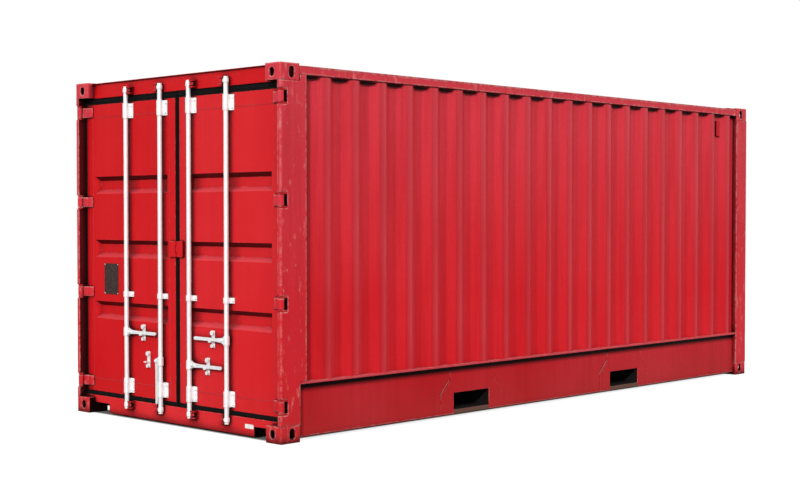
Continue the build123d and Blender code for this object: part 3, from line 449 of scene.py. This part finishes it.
def axes_of(tree):
    """The Object coordinates as three values, X, Y and Z."""
    place = add_node(tree, "ShaderNodeTexCoord").outputs["Object"]
    return add_node(tree, "ShaderNodeSeparateXYZ", {0: place}).outputs


def distance_from(tree, value, middle=0.0):
    """How far a coordinate is from a plane: |value - middle|."""
    off = add_node(tree, "ShaderNodeMath", {0: value, 1: middle}, operation="SUBTRACT")
    return add_node(tree, "ShaderNodeMath", {0: off}, operation="ABSOLUTE")


def share_where(tree, *limits):
    """The product of ramps: each is 0 where its value is at clean, and 1 where it is at full."""
    share = 1.0
    for value, clean, full in limits:
        ramp = add_node(tree, "ShaderNodeMapRange", {"Value": value, "From Min": clean,
                                                     "From Max": full})
        share = add_node(tree, "ShaderNodeMath", {0: share, 1: ramp}, operation="MULTIPLY")
    return share


def shade_inside(material, axis, clean, full, top=0.125):
    """Painted shade below top: none where |axis| is over clean, and all of it where it is under
    full.
    """
    tree = material.node_tree
    spot = axes_of(tree)
    share = share_where(tree, (distance_from(tree, spot[axis]), clean, full),
                        (spot["Z"], top, top - 0.008))
    lay_over(tree, share, PAINTED_SHADE)


# %% [markdown]
# ## The reds of the box
# Walls and posts have bleached towards pink, while the leaves keep a deeper red, the right
# one a little paler. Posts and castings take the knocks, so they are rubbed over wide edges
# and scuffed. In the valleys of the side sheet, just below the upper rails, lies a painted
# shadow of the rails.

# %% Walls, leaves, sill and posts
wall_enamel = container_enamel("faded_red_wall_enamel", "C81B23", "CD242C", "A5151D", rub=0.3,
                               dirt=0.42, rust=0.4, bleach=0.55, rims=0.28, shade_share=0.25)
tree = wall_enamel.node_tree
spot = axes_of(tree)
normal = add_node(tree, "ShaderNodeNewGeometry").outputs["Normal"]
tilt = add_node(tree, "ShaderNodeSeparateXYZ", {0: normal}).outputs
# Painted shadow of the upper rails in the valleys of the side sheet.
valley_shadow = share_where(tree, (spot["Z"], 2.478, 2.498),
                     (distance_from(tree, spot["Y"]), 1.203, 1.192),
                     (distance_from(tree, tilt["Y"]), 0.0, 1.0))
lay_over(tree, valley_shadow, PAINTED_SHADE)

door_enamel = container_enamel("red_door_enamel", "CC1219", "D11A20", "B61015", rub=0.4,
                               dirt=0.2, rust=0.3)
right_leaf_enamel = container_enamel("red_right_leaf_enamel", "D31F25", "D8282E", "BE1A1F",
                                     rub=0.4, dirt=0.2, rust=0.3)
door_bead_enamel = container_enamel("red_door_bead_enamel", "D8444A", "DA4A50", "C02A30",
                                    rub=0.1, dirt=0.2, rust=0.2, shade_share=0.2)
bead_enamel = container_enamel("rubbed_red_bead_enamel", "C51A22", "CD2A33", "9E1820",
                               rub=0.7, shade_share=0.3)
# The channels of the door posts get a near-black red as painted shade.
shaded_recess_enamel = container_enamel("painted_shade_recess_enamel", "5A1417", "661A1D", "360B0D", rub=0.2,
                                 dirt=0.6)
FRAME_REDS = ("BE1821", "C82A33", "971820")
frame_enamel = container_enamel("rubbed_red_frame_enamel", *FRAME_REDS, rub=0.9, dirt=0.35,
                                rust=0.7)

# The sill is painted dark behind its front plate, as painted shade, and so are the inner
# faces of the castings. A painted shadow lies along the lower edge of the upper rails,
# between the castings.
sill_enamel = container_enamel("red_sill_enamel", "D9252B", "DE3036", "C41D22", rub=0.6,
                               dirt=0.1, rust=0.4)
shade_inside(sill_enamel, "X", 2.9670, 2.9630)
post_enamel = container_enamel("rubbed_red_post_enamel", "D2242D", "DC343E", "A51C25", rub=0.9,
                               rust=0.7, bleach=0.65, edge_wide=0.018, scuffs=0.9)
shade_inside(post_enamel, "Y", 1.0590, 1.0575)
shade_inside(post_enamel, "X", 2.7870, 2.7830, top=2.523)
print("enamels for walls, leaves, sill and posts")

# %% [markdown]
# ## Two pieces with a story
# The cams are dipped in zinc with the bars, and only their noses still carry red paint.
# Forks have scraped the lower rails to brown steel below each pocket. The lip of their
# upper flange gets a pale painted highlight, and a painted shadow lies under it, with a
# soft lower edge. Their inner faces get painted shade.

# %% Cams and lower rails
cam_enamel = container_enamel("red_enamel_over_dipped_cams", "C41A20", "CC242A", "8E1216",
                              rub=0.9, dirt=0.5, rust=0.6)
tree = cam_enamel.node_tree
across = distance_from(tree, axes_of(tree)["Y"])
near_bar = add_node(tree, "ShaderNodeMath", {0: distance_from(tree, across, BAR_INNER),
                                             1: distance_from(tree, across, BAR_OUTER)},
                    operation="MINIMUM")
lay_over(tree, share_where(tree, (near_bar, 0.027, 0.020)), "F0F1F1")

SCRAPED_STEEL = "6A4A40"
FLANGE_LIP = 0.394
rail_enamel = container_enamel("rubbed_red_rail_enamel", *FRAME_REDS, rub=0.9, dirt=0.35,
                               rust=0.7, shade_share=0.4)
tree = rail_enamel.node_tree
spot = axes_of(tree)
off_pocket = distance_from(tree, distance_from(tree, spot["X"]), POCKET_MIDDLE)
lay_over(tree, share_where(tree, (off_pocket, 0.212, 0.204), (spot["Z"], 0.066, 0.060)),
         SCRAPED_STEEL)
# Painted highlight on the lip of the upper flange.
lip_highlight = add_node(tree, "ShaderNodeMapRange", {"Value": spot["Z"], "From Min": FLANGE_LIP,
                                            "From Max": FLANGE_LIP + 0.003,
                                            "To Max": 0.34})
lay_over(tree, lip_highlight, RIM_CHALK_AND_HIGHLIGHT)
# Painted shadow under the lip, with a soft lower edge.
lip_shadow = add_node(tree, "ShaderNodeMapRange", {"Value": spot["Z"], "From Min": 0.325,
                                                "From Max": 0.374},
                   interpolation_type="SMOOTHSTEP")
below_lip = share_where(tree, (spot["Z"], FLANGE_LIP + 0.003, FLANGE_LIP))
lip_shadow = add_node(tree, "ShaderNodeMath", {0: lip_shadow, 1: below_lip}, operation="MULTIPLY")
lay_over(tree, lip_shadow, PAINTED_SHADE)
# Painted shade on the inner faces of the lower rails.
shade_inside(rail_enamel, "Y", 1.1800, 1.1780, top=0.410)
print("cams and lower rails")

# %% [markdown]
# ## Bitumen on the underside
# The cross members and the fork tunnels aren't sprayed red. They get a brown-black coat of
# bitumen against stones and salt, lumpy and matt, with dried mud in its hollows.

# %% Bitumen
bitumen, tree, shader, place = new_material("bitumen_underbody_coating", "110D0C")
lumps = add_node(tree, "ShaderNodeTexNoise", {"Vector": place, "Scale": 60.0, "Detail": 4.0})
mud = add_node(tree, "ShaderNodeMapRange", {"Value": lumps, "From Min": 0.5, "From Max": 0.75,
                                            "To Max": 0.6})
lay_over(tree, mud, "2A201C")
shader.inputs["Roughness"].default_value = 0.7
shader.inputs["Specular IOR Level"].default_value = 0.2
bump = add_node(tree, "ShaderNodeBump", {"Height": lumps, "Strength": 0.4, "Distance": 0.002})
tree.links.new(bump.outputs[0], shader.inputs["Normal"])
print(bitumen.name)

# %% [markdown]
# ## Hot-dip zinc on the lock gear
# Lock bars, cams, handles and their brackets are dipped in molten zinc. It freezes in
# crystals about 12 mm across, called spangle, and weathers to a pale, dull grey with a
# chalky bloom, so it is nearly white in daylight and only faintly mirror-like.

# %% Zinc coating
bar_zinc, tree, shader, place = new_material("hot_dip_zinc", "FAFBFB")
crystal = add_node(tree, "ShaderNodeTexVoronoi", {"Vector": place, "Scale": 85.0})
shade = add_node(tree, "ShaderNodeSeparateColor", {0: crystal.outputs["Color"]})
tone = add_node(tree, "ShaderNodeMapRange", {"Value": shade, "To Max": 0.35})
lay_over(tree, tone, "DADEDF")
cloud = add_node(tree, "ShaderNodeTexNoise", {"Vector": place, "Scale": 14.0, "Detail": 5.0,
                                              "Roughness": 0.65})
brown = add_node(tree, "ShaderNodeMapRange", {"Value": cloud, "From Min": 0.58,
                                              "From Max": 0.78, "To Max": 0.35})
lay_over(tree, brown, "B7A392")
dull = add_node(tree, "ShaderNodeMapRange", {"Value": cloud, "From Min": 0.3, "From Max": 0.7,
                                             "To Min": 0.38, "To Max": 0.6})
tree.links.new(dull.outputs[0], shader.inputs["Roughness"])
shader.inputs["Metallic"].default_value = 0.35
grain = add_node(tree, "ShaderNodeTexNoise", {"Vector": place, "Scale": 260.0, "Detail": 2.0})
round_edge = add_node(tree, "ShaderNodeBevel", {"Radius": 0.003}, samples=4)
bump = add_node(tree, "ShaderNodeBump", {"Height": grain, "Strength": 0.25, "Distance": 0.001,
                                         "Normal": round_edge})
tree.links.new(bump.outputs[0], shader.inputs["Normal"])
print(bar_zinc.name)

# %% [markdown]
# ## Rubber seal and plywood floor
# The leaves seal against the posts with an EPDM rubber strip, black and matt, dusty where
# water dries on it. The floor is 28 mm hardwood plywood, oiled brown and scuffed by cargo;
# its grain runs along the sheet, so the noise is stretched along X.

# %% Rubber
rubber, tree, shader, place = new_material("black_epdm_rubber", "080808")
dust = add_node(tree, "ShaderNodeTexNoise", {"Vector": place, "Scale": 22.0, "Detail": 4.0})
dusty = add_node(tree, "ShaderNodeMapRange", {"Value": dust, "From Min": 0.45,
                                              "From Max": 0.8, "To Max": 0.35})
lay_over(tree, dusty, "1E1B1A")
shader.inputs["Roughness"].default_value = 0.85
shader.inputs["Specular IOR Level"].default_value = 0.15
pores = add_node(tree, "ShaderNodeTexNoise", {"Vector": place, "Scale": 500.0})
bump = add_node(tree, "ShaderNodeBump", {"Height": pores, "Strength": 0.2, "Distance": 0.001})
tree.links.new(bump.outputs[0], shader.inputs["Normal"])
print(rubber.name)

# %% Plywood
plywood, tree, shader, place = new_material("oiled_hardwood_plywood", "8A5C3A")
along = add_node(tree, "ShaderNodeMapping", {"Vector": place, "Scale": (2.2, 60.0, 60.0)})
grain = add_node(tree, "ShaderNodeTexNoise", {"Vector": along, "Scale": 1.0, "Detail": 6.0,
                                              "Roughness": 0.6, "Distortion": 0.6})
band = add_node(tree, "ShaderNodeMapRange", {"Value": grain, "From Min": 0.35,
                                             "From Max": 0.68})
lay_over(tree, band, "5E3A22")
scuff = add_node(tree, "ShaderNodeTexNoise", {"Vector": place, "Scale": 2.4, "Detail": 6.0,
                                              "Roughness": 0.7})
pale = add_node(tree, "ShaderNodeMapRange", {"Value": scuff, "From Min": 0.5, "From Max": 0.75,
                                             "To Max": 0.5})
lay_over(tree, pale, "A98B6B")
shader.inputs["Roughness"].default_value = 0.62
bump = add_node(tree, "ShaderNodeBump", {"Height": grain, "Strength": 0.3, "Distance": 0.002})
tree.links.new(bump.outputs[0], shader.inputs["Normal"])
print(plywood.name)

# %% [markdown]
# ## Finish of every solid
# Each solid keeps its shape and gets the finish of the real piece. The first row that has
# the start of its name holds, so the special pieces stand before the general ones, and
# what isn't listed gets the enamel of the frame.

# %% Give each solid its finish
FINISH = [(rubber, ("door_gasket",)), (plywood, ("floor_boards",)), (cam_enamel, ("lock_cams",)),
          (bar_zinc, ("lock_", "handle_", "bar_guides")), (shaded_recess_enamel, ("door_post_channel",)),
          (post_enamel, ("door_post_outer", "door_end_castings", "blind_end_castings",
                         "blind_post", "top_rail", "hinge_blades")),
          (rail_enamel, ("bottom_rail",)), (bitumen, ("fork_tunnels", "cross_members")),
          (right_leaf_enamel, ("door_frame_right", "door_panel_right")),
          (sill_enamel, ("door_sill",)),
          (door_enamel, ("door_frame", "door_panel", "rack_block", "door_header", "cam_keepers")),
          (wall_enamel, ("side_wall", "blind_wall", "roof_panel"))]
for name, node in nodes.items():
    finish = next((m for m, starts in FINISH if name.startswith(starts)), frame_enamel)
    node.data.materials.clear()
    node.data.materials.append(finish)
print("finished", len(nodes), "solids")

# %% [markdown]
# ## New pieces as surfaces
# Every new piece is a surface worked out with numpy, as an array of points and an array of
# four-cornered faces. One function turns the two into a mesh object, whose place is in its
# points, and says which moving body carries it.

# %% From arrays to a piece


def make_piece(name, points, faces, material, body, slot, smooth=True):
    """A mesh object from an (n, 3) array of points and an (m, 4) array of quads."""
    mesh = bpy.data.meshes.new(name)
    mesh.from_pydata(points.tolist(), [], faces.tolist())
    mesh.polygons.foreach_set("use_smooth", np.full(len(faces), smooth))
    mesh.materials.append(material)
    piece = bpy.data.objects.new(name, mesh)
    bpy.context.scene.collection.objects.link(piece)
    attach(piece, body)
    print(name, len(faces), "faces on", body)


def ring_quads(rings, around):
    """Quads between neighbouring rings of points, closed round each ring."""
    row = np.arange(rings - 1)[:, None] * around
    here = np.arange(around)[None, :]
    after = (here + 1) % around
    return np.stack([row + here, row + after, row + around + after, row + around + here],
                    -1).reshape(-1, 4)


def join_surfaces(parts):
    """Several (points, quads) as one pair, the quads counted on from the points before."""
    starts = np.cumsum([0] + [len(points) for points, quads in parts])[:-1]
    return (np.concatenate([points for points, quads in parts]),
            np.concatenate([quads + start for (points, quads), start in zip(parts, starts)]))


print("two rings of six points make", len(ring_quads(2, 6)), "faces")

# %% [markdown]
# ## Weld beads
# Everything on this box is joined by welding. A bead is a half-round ridge with ripples
# where each drop of metal froze. It is made as a closed round tube sunk halfway into the
# steel, carried along each joint. A hidden half costs a few faces and saves any
# question of which way the ridge has to face.

# %% A tube surface that follows a line of points
RIPPLE = 0.009
PLAIN_STEP = 0.08
BEAD_SIDES = 6


def bead_surface(corners, radius, ripple):
    """Rings round a line: point = c(s) + r(s) (u cos a + v sin a).

    r(s) = radius (0.86 + 0.14 cos(2 pi s / ripple)), or the plain radius without a ripple,
    and it shrinks to a third at both ends, where the tube is closed. u and v stand square
    to the line, and a ring at a corner is shared by both runs.
    """
    corners = np.asarray(corners, float)
    run = np.linalg.norm(np.diff(corners, axis=0), axis=1)
    at = np.concatenate([[0.0], np.cumsum(run)])
    count = max(4, int(at[-1] / (ripple / 2 if ripple else PLAIN_STEP)))
    s = np.unique(np.concatenate([np.linspace(0, at[-1], count), at]).round(6))
    centre = np.stack([np.interp(s, at, corners[:, i]) for i in range(3)], -1)
    tangent = np.gradient(centre, axis=0)
    tangent /= np.linalg.norm(tangent, axis=1, keepdims=True)
    spare = np.where(np.abs(tangent[:, 2:]) > 0.9, [[1.0, 0, 0]], [[0, 0, 1.0]])
    u = np.cross(tangent, spare)
    u /= np.linalg.norm(u, axis=1, keepdims=True)
    v = np.cross(tangent, u)
    size = radius * (0.86 + 0.14 * np.cos(2 * np.pi * s / ripple)) if ripple else s * 0 + radius
    size = size * np.clip(0.33 + np.minimum(s, at[-1] - s) / radius, 0, 1)
    angle = np.linspace(0, 2 * np.pi, BEAD_SIDES, endpoint=False)[None, :, None]
    points = centre[:, None] + size[:, None, None] * (u[:, None] * np.cos(angle)
                                                      + v[:, None] * np.sin(angle))
    quads = ring_quads(len(s), BEAD_SIDES)
    first = np.array([[0, 5, 4, 3], [0, 3, 2, 1]])
    last = (len(s) - 1) * BEAD_SIDES + np.array([[0, 1, 2, 3], [0, 3, 4, 5]])
    return points.reshape(-1, 3), np.concatenate([quads, first, last])


def bead_piece(name, lines, radius, material, body, slot, ripple=RIPPLE):
    """One mesh with a bead along every line."""
    points, quads = join_surfaces([bead_surface(line, radius, ripple) for line in lines])
    make_piece(name, points, quads, material, body, slot)


def on_side(lines, sign):
    """The same lines with Y times sign: 1 leaves them on the left, -1 takes them across."""
    return [[(x, sign * y, z) for x, y, z in line] for line in lines]


print("a ripple every", 1000 * RIPPLE, "mm")

# %% [markdown]
# ## Where the frame is welded
# The corner castings are welded to posts and rails all round. The plates round the fork
# pockets are welded along their sloping shoulders, and each shoulder nearer to the doors
# gets a pale bead as a painted highlight, where the lamp catches it.

# %% Beads on castings and fork pockets
CAST_X, CAST_Y, CAST_Z = 0.178, 0.162, 0.118
POST_LIP = 0.034
UPPER_RAIL_FOOT, UPPER_RAIL_HEAD, LOWER_RAIL_FOOT = 2.516, 2.575, 0.032
PLATE_FACE = WEB + 0.003
SHOULDER = ((0.250, 0.340), (0.250, 0.275), (0.355, 0.175), (0.355, 0.036))
SHOULDER_HIGHLIGHT = ((-0.262, 0.292), (-0.372, 0.178))

frame_lines = []
for end in (-1, 1):
    seam_x, tip_x = end * (END - CAST_X), end * (END - 0.001)
    inner = SIDE - (POST_LIP if end < 0 else CAST_Y)
    for z in (CAST_Z, TOP - CAST_Z):
        frame_lines.append([(seam_x, SIDE - 0.001, z), (tip_x, SIDE - 0.001, z)])
        frame_lines.append([(tip_x, SIDE, z), (tip_x, inner, z)])
    frame_lines.append([(seam_x, SIDE - 0.006, z) for z in (UPPER_RAIL_FOOT, UPPER_RAIL_HEAD)])
    frame_lines.append([(seam_x, WEB, z) for z in (LOWER_RAIL_FOOT, CAST_Z)])
highlight_lines = []
for middle in (-POCKET_MIDDLE, POCKET_MIDDLE):
    highlight_lines.append([(middle + away, PLATE_FACE, z) for away, z in SHOULDER_HIGHLIGHT])
    for turn in (-1, 1):
        frame_lines.append([(middle + turn * away, PLATE_FACE, z) for away, z in SHOULDER])
# A pale bead on the lit shoulder, as a painted highlight.
shoulder_highlight_enamel = container_enamel("painted_shoulder_highlight", "C46A66", "D07C76", "B0524E", rub=0.2)
bead_piece("pocket_shoulder_highlights", highlight_lines + on_side(highlight_lines, -1), 0.0040, shoulder_highlight_enamel,
           "box", "red_paint")
bead_piece("frame_welds", frame_lines + on_side(frame_lines, -1), 0.0032, bead_enamel, "box",
           "red_paint")

# %% [markdown]
# ## Where the sheets are welded
# The corrugated side sheet is welded to both rails along its whole zigzag line: crest,
# slope, valley, slope, twenty times over. The roof is five stamped sheets, so beads run
# across it in the flat strips between troughs, and along both edges.

# %% Beads on walls and roof
WAVES = 20
VALLEY_Y, CREST_Y = 1.173, 1.209
WALL_START, WALL_STOP = -2.789, 2.849
WALL_FOOT, WALL_HEAD = 0.4125, 2.5145
ROOF_STEP, ROOF_END, ROOF_EDGE, ROOF_SEAM = 0.209, 2.84, 1.2095, 1.205
EDGE_Z, SEAM_Z, SEAMS = 2.5765, 2.5775, (-8, -3, 3, 8)

crest = FIRST_CREST + WAVE_PITCH * np.arange(WAVES)[:, None]
along = (crest + np.array([[-SLOPE, 0.0, CREST, CREST + SLOPE]])).ravel()
along = np.concatenate([[WALL_START], along, [WALL_STOP]])
deep = np.tile([VALLEY_Y, CREST_Y, CREST_Y, VALLEY_Y], WAVES)
deep = np.concatenate([[VALLEY_Y], deep, [VALLEY_Y]])
wall_lines = [np.column_stack([along, deep, np.full(len(along), z)]).tolist()
              for z in (WALL_FOOT, WALL_HEAD)]
wall_lines.append([(WALL_START - 0.001, VALLEY_Y + 0.001, z)
                   for z in (WALL_FOOT + 0.0025, WALL_HEAD - 0.0025)])
bead_piece("wall_welds", wall_lines + on_side(wall_lines, -1), 0.0030, bead_enamel, "box",
           "red_paint", ripple=0.014)

roof_lines = [[(x, y, EDGE_Z) for x in (-ROOF_END, ROOF_END)] for y in (ROOF_EDGE, -ROOF_EDGE)]
roof_lines += [[(gap * ROOF_STEP, y, SEAM_Z) for y in (-ROOF_SEAM, ROOF_SEAM)] for gap in SEAMS]
bead_piece("roof_welds", roof_lines, 0.0030, wall_enamel, "box", "red_paint", ripple=0.016)

# %% [markdown]
# ## Beads and seams on the door leaves
# Each leaf is a frame of square tube with a pressed sheet let in, so a bead runs round the
# sheet and across each corner of the tube. The rubber seal round the leaf has a soft outer
# lip, a plain round fin that presses on the post.

# %% Door beads and seal lips
FACE = -END + 0.066
SKIN_X, LIP_X = FACE - 0.0004, -END + 0.069
LEAF_LOW, LEAF_TOP, LEAF_IN, LEAF_OUT = 0.172, 2.420, 0.025, 1.160
LIP_LOW, LIP_TOP, LIP_IN, LIP_OUT = 0.150, 2.440, 0.015, 1.1725
GAP = 0.002
sheet_in, sheet_out = LEAF_IN + 0.070, LEAF_OUT - 0.080
sheet_low, sheet_top = LEAF_LOW + 0.100, LEAF_TOP - 0.100


def round_trip(x, inner, outer, low, top):
    """A line round a rectangle at one X that stops a gap short of its start."""
    return [(x, inner, low), (x, outer, low), (x, outer, top), (x, inner, top),
            (x, inner, low + GAP)]


leaf_lines = [round_trip(SKIN_X, sheet_in, sheet_out, sheet_low, sheet_top)]
leaf_lines += [[(SKIN_X, y, z) for z in ends]
               for ends in ((LEAF_LOW + 0.003, sheet_low), (sheet_top, LEAF_TOP - 0.003))
               for y in (sheet_in, sheet_out)]
lip_lines = [round_trip(LIP_X, LIP_IN, LIP_OUT, LIP_LOW, LIP_TOP)]
for hand, sign in (("left", 1), ("right", -1)):
    bead_piece("leaf_welds_" + hand, on_side(leaf_lines, sign), 0.0022, door_bead_enamel,
               hand + "_door", "door_paint", ripple=0.012)
    bead_piece("seal_lip_" + hand, on_side(lip_lines, sign), 0.0042, rubber, hand + "_door",
               "rubber_seal", ripple=None)

# %% [markdown]
# ## Bolts and rivets
# The bearing brackets of the lock bars are bolted through the leaf. A bolt head is one
# surface: six-sided rings that step out to the flange, up the flats and in over the
# chamfer. All heads on a leaf are made at once by adding the same small shape to
# every centre.

# %% Turned heads, and the bolts of the brackets


def heads(centres, profile, sides, axes=(0, 1, 2), normal=-1.0):
    """Turned heads on an axis: point = centre + n h along it + r (cos a, sin a) across it.

    profile lists radius r and height h from the seat to the crown, n is the way out, and
    axes gives the axis and then the two directions across it, in right-handed order.
    """
    angle = np.linspace(0, 2 * np.pi, sides, endpoint=False)
    radius, height = np.asarray(profile, float).T
    shape = np.empty((len(radius), sides, 3))
    shape[..., axes[0]] = normal * height[:, None]
    shape[..., axes[1]] = radius[:, None] * np.cos(angle)
    shape[..., axes[2]] = radius[:, None] * np.sin(angle)
    points = np.asarray(centres, float)[:, None, None] + shape[None]
    quads = ring_quads(len(radius), sides)
    if normal < 0:
        quads = quads[:, ::-1]
    step = len(radius) * sides
    all_quads = (quads[None] + step * np.arange(len(centres))[:, None, None]).reshape(-1, 4)
    return points.reshape(-1, 3), all_quads


HEX_HEAD = [(0.0105, 0.0), (0.0105, 0.0018), (0.0085, 0.0022), (0.0085, 0.0062),
            (0.0070, 0.0074), (0.0004, 0.0076)]
BRACKET_X = FACE - 0.005
BOLT_SIDE, BOLT_RISE = 0.041, 0.036
END_BRACKETS, MIDDLE_BRACKET = (0.252, 2.352), 0.952

for hand, bars in (("left", (BAR_OUTER, BAR_INNER)), ("right", (-BAR_INNER, -BAR_OUTER))):
    seats = [(BRACKET_X, y + side * BOLT_SIDE, z + rise * BOLT_RISE) for y in bars
             for z in END_BRACKETS for side in (-1, 1) for rise in (-1, 1)]
    seats += [(BRACKET_X, y + side * BOLT_SIDE, MIDDLE_BRACKET) for y in bars for side in (-1, 1)]
    make_piece("bracket_bolts_" + hand, *heads(seats, HEX_HEAD, 6), bar_zinc, hand + "_door",
               "galvanised_steel", smooth=False)

# %% [markdown]
# ## Pins, caps and screws
# Each handle turns on a pin that ends in two flat rivet heads, one in front of the hub and
# one behind it. The hinge pins are closed by a welded cap above and below each pair of
# lugs. Countersunk screws hold the plywood to every channel under it. All of them are
# turned heads again, with another profile and axis.

# %% Handle pins, hinge caps and floor screws
FLAT_RIVET = [(0.0110, -0.001), (0.0110, 0.0022), (0.0095, 0.0036), (0.0004, 0.0040)]
HUBS = ((0.554, 0.666), (0.219, 0.466), (-0.219, 0.466), (-0.554, 0.666))
HUB_FRONT, HUB_BACK = -END + 0.0195, -END + 0.0505
for number, (y, z) in enumerate(HUBS, 1):
    front = heads([(HUB_FRONT, y, z)], FLAT_RIVET, 16)
    back = heads([(HUB_BACK, y, z)], FLAT_RIVET, 16, normal=1.0)
    make_piece(f"handle_pin_heads_{number}", *join_surfaces([front, back]), bar_zinc,
               f"bar_{number}", "galvanised_steel")

CAP = [(0.0130, -0.001), (0.0130, 0.0030), (0.0105, 0.0052), (0.0060, 0.0066), (0.0003, 0.0072)]
PIN_X, PIN_Y = -END + 0.023, 1.196
HINGE_LOW, HINGE_STEP, LUG_HALF = 0.250, 0.704, 0.054
caps = [heads([(PIN_X, y, z + way * LUG_HALF)], CAP, 16, axes=(2, 0, 1), normal=way)
        for z in HINGE_LOW + HINGE_STEP * np.arange(4) for y in (PIN_Y, -PIN_Y)
        for way in (1.0, -1.0)]
make_piece("hinge_pin_caps", *join_surfaces(caps), frame_enamel, "box", "red_paint")

SCREW = [(0.0075, 0.0), (0.0075, 0.0006), (0.0060, 0.0011), (0.0030, 0.0006), (0.0003, 0.0005)]
FLOOR_TOP, SCREW_INSET, CHANNELS = 0.224, 0.235, 19
across = np.array([-1.05, -0.63, -0.21, 0.21, 0.63, 1.05])
along = np.linspace(-END + SCREW_INSET, END - SCREW_INSET, CHANNELS)
grid = np.stack(np.meshgrid(along, across), -1).reshape(-1, 2)
seats = np.column_stack([grid, np.full(len(grid), FLOOR_TOP)])
make_piece("floor_screws", *heads(seats, SCREW, 12, axes=(2, 0, 1), normal=1.0), bar_zinc, "box",
           "plywood")

# %% [markdown]
# ## The data plate
# A stamped steel plate is riveted on the left leaf. It has gone nearly black with age. It
# is left blank: only the raised rim and the plain fields of such a plate are made, as
# slabs whose rings follow a rounded rectangle.

# %% A slab with a rounded outline
OUTLINE = 40


def rounded_slab(centre, wide, tall, corner, levels):
    """Rings of a rounded rectangle facing -X, one for each (inset, height) in levels.

    The outline is |y / a| ^ p + |z / b| ^ p = 1 with p set by the corner radius, so the
    sides are almost straight. Each inset makes it smaller all round. The last ring is
    filled by strips across, from one side of it to the other.
    """
    angle = np.linspace(0, 2 * np.pi, OUTLINE, endpoint=False) + np.pi / OUTLINE
    power = 2.0 / max(2.0, min(wide, tall) / corner)
    unit = np.stack([np.sign(f(angle)) * np.abs(f(angle)) ** power for f in (np.cos, np.sin)], -1)
    half = np.array([wide / 2, tall / 2])
    rings = [np.column_stack([np.full(OUTLINE, -height), unit * (half - inset)])
             for inset, height in levels]
    last = (len(levels) - 1) * OUTLINE
    i = np.arange(OUTLINE // 2 - 1)
    strips = last + np.stack([i, i + 1, OUTLINE - 2 - i, OUTLINE - 1 - i], -1)
    quads = np.concatenate([ring_quads(len(levels), OUTLINE), strips])
    return np.asarray(centre) + np.concatenate(rings), quads[:, ::-1]


print("outlines of", OUTLINE, "points")

# %% Data plate with blank fields and rivets
plate_metal, tree, shader, place = new_material("blackened_stamped_steel", "231413")
stain = add_node(tree, "ShaderNodeTexNoise", {"Vector": place, "Scale": 48.0, "Detail": 6.0,
                                              "Roughness": 0.7})
patch = add_node(tree, "ShaderNodeMapRange", {"Value": stain, "From Min": 0.42,
                                              "From Max": 0.66})
lay_over(tree, patch, "50332E")
shader.inputs["Metallic"].default_value = 0.3
shader.inputs["Roughness"].default_value = 0.5
bump = add_node(tree, "ShaderNodeBump", {"Height": stain, "Strength": 0.3, "Distance": 0.001})
tree.links.new(bump.outputs[0], shader.inputs["Normal"])

PLATE_Y, PLATE_Z, PLATE_WIDE, PLATE_TALL = 0.840, 1.060, 0.184, 0.240
RIVET_Y, RIVET_Z = 0.084, 0.112
RIM = [(0.0, -0.001), (0.0, 0.0014), (0.0006, 0.0020), (0.006, 0.0020), (0.0072, 0.0012)]
FIELD = [(0.0, 0.0), (0.0, 0.0006), (0.0005, 0.0009)]
FIELD_ROWS = ((0.072, 0.046), (0.018, 0.042), (-0.032, 0.042), (-0.082, 0.036))
DOME = [(0.0045, 0.0), (0.0043, 0.0011), (0.0033, 0.0021), (0.0018, 0.0027), (0.0002, 0.0029)]
plate = rounded_slab((FACE, PLATE_Y, PLATE_Z), PLATE_WIDE, PLATE_TALL, 0.008, RIM)
make_piece("data_plate", *plate, plate_metal, "left_door", "galvanised_steel", smooth=False)
fields = [rounded_slab((FACE - 0.0011, PLATE_Y, PLATE_Z + row), 0.150, tall, 0.003, FIELD)
          for row, tall in FIELD_ROWS]
make_piece("data_plate_fields", *join_surfaces(fields), plate_metal, "left_door",
           "galvanised_steel", smooth=False)
seats = [(FACE - 0.0012, PLATE_Y + y * RIVET_Y, PLATE_Z + z * RIVET_Z)
         for y in (-1, 1) for z in (-1, 1)]
make_piece("data_plate_rivets", *heads(seats, DOME, 12), bar_zinc, "left_door",
           "galvanised_steel")

# %% [markdown]
# ## The sill label
# A small white vinyl label is stuck on the sill, soiled like all that hangs so low, and
# left blank as well. It is the same slab again, less than a millimetre thick.

# %% Label on the sill
vinyl, tree, shader, place = new_material("white_vinyl_label", "F1EFEA")
smear = add_node(tree, "ShaderNodeTexNoise", {"Vector": place, "Scale": 90.0, "Detail": 4.0})
soil = add_node(tree, "ShaderNodeMapRange", {"Value": smear, "From Min": 0.5, "From Max": 0.8,
                                             "To Max": 0.5})
lay_over(tree, soil, "B99C92")
shader.inputs["Roughness"].default_value = 0.4
label = rounded_slab((-END + 0.060, -0.815, 0.0775), 0.092, 0.031, 0.003,
                     [(0.0, -0.0005), (0.0, 0.0004), (0.0006, 0.0008)])
make_piece("sill_label", *label, vinyl, "box", "red_paint", smooth=False)
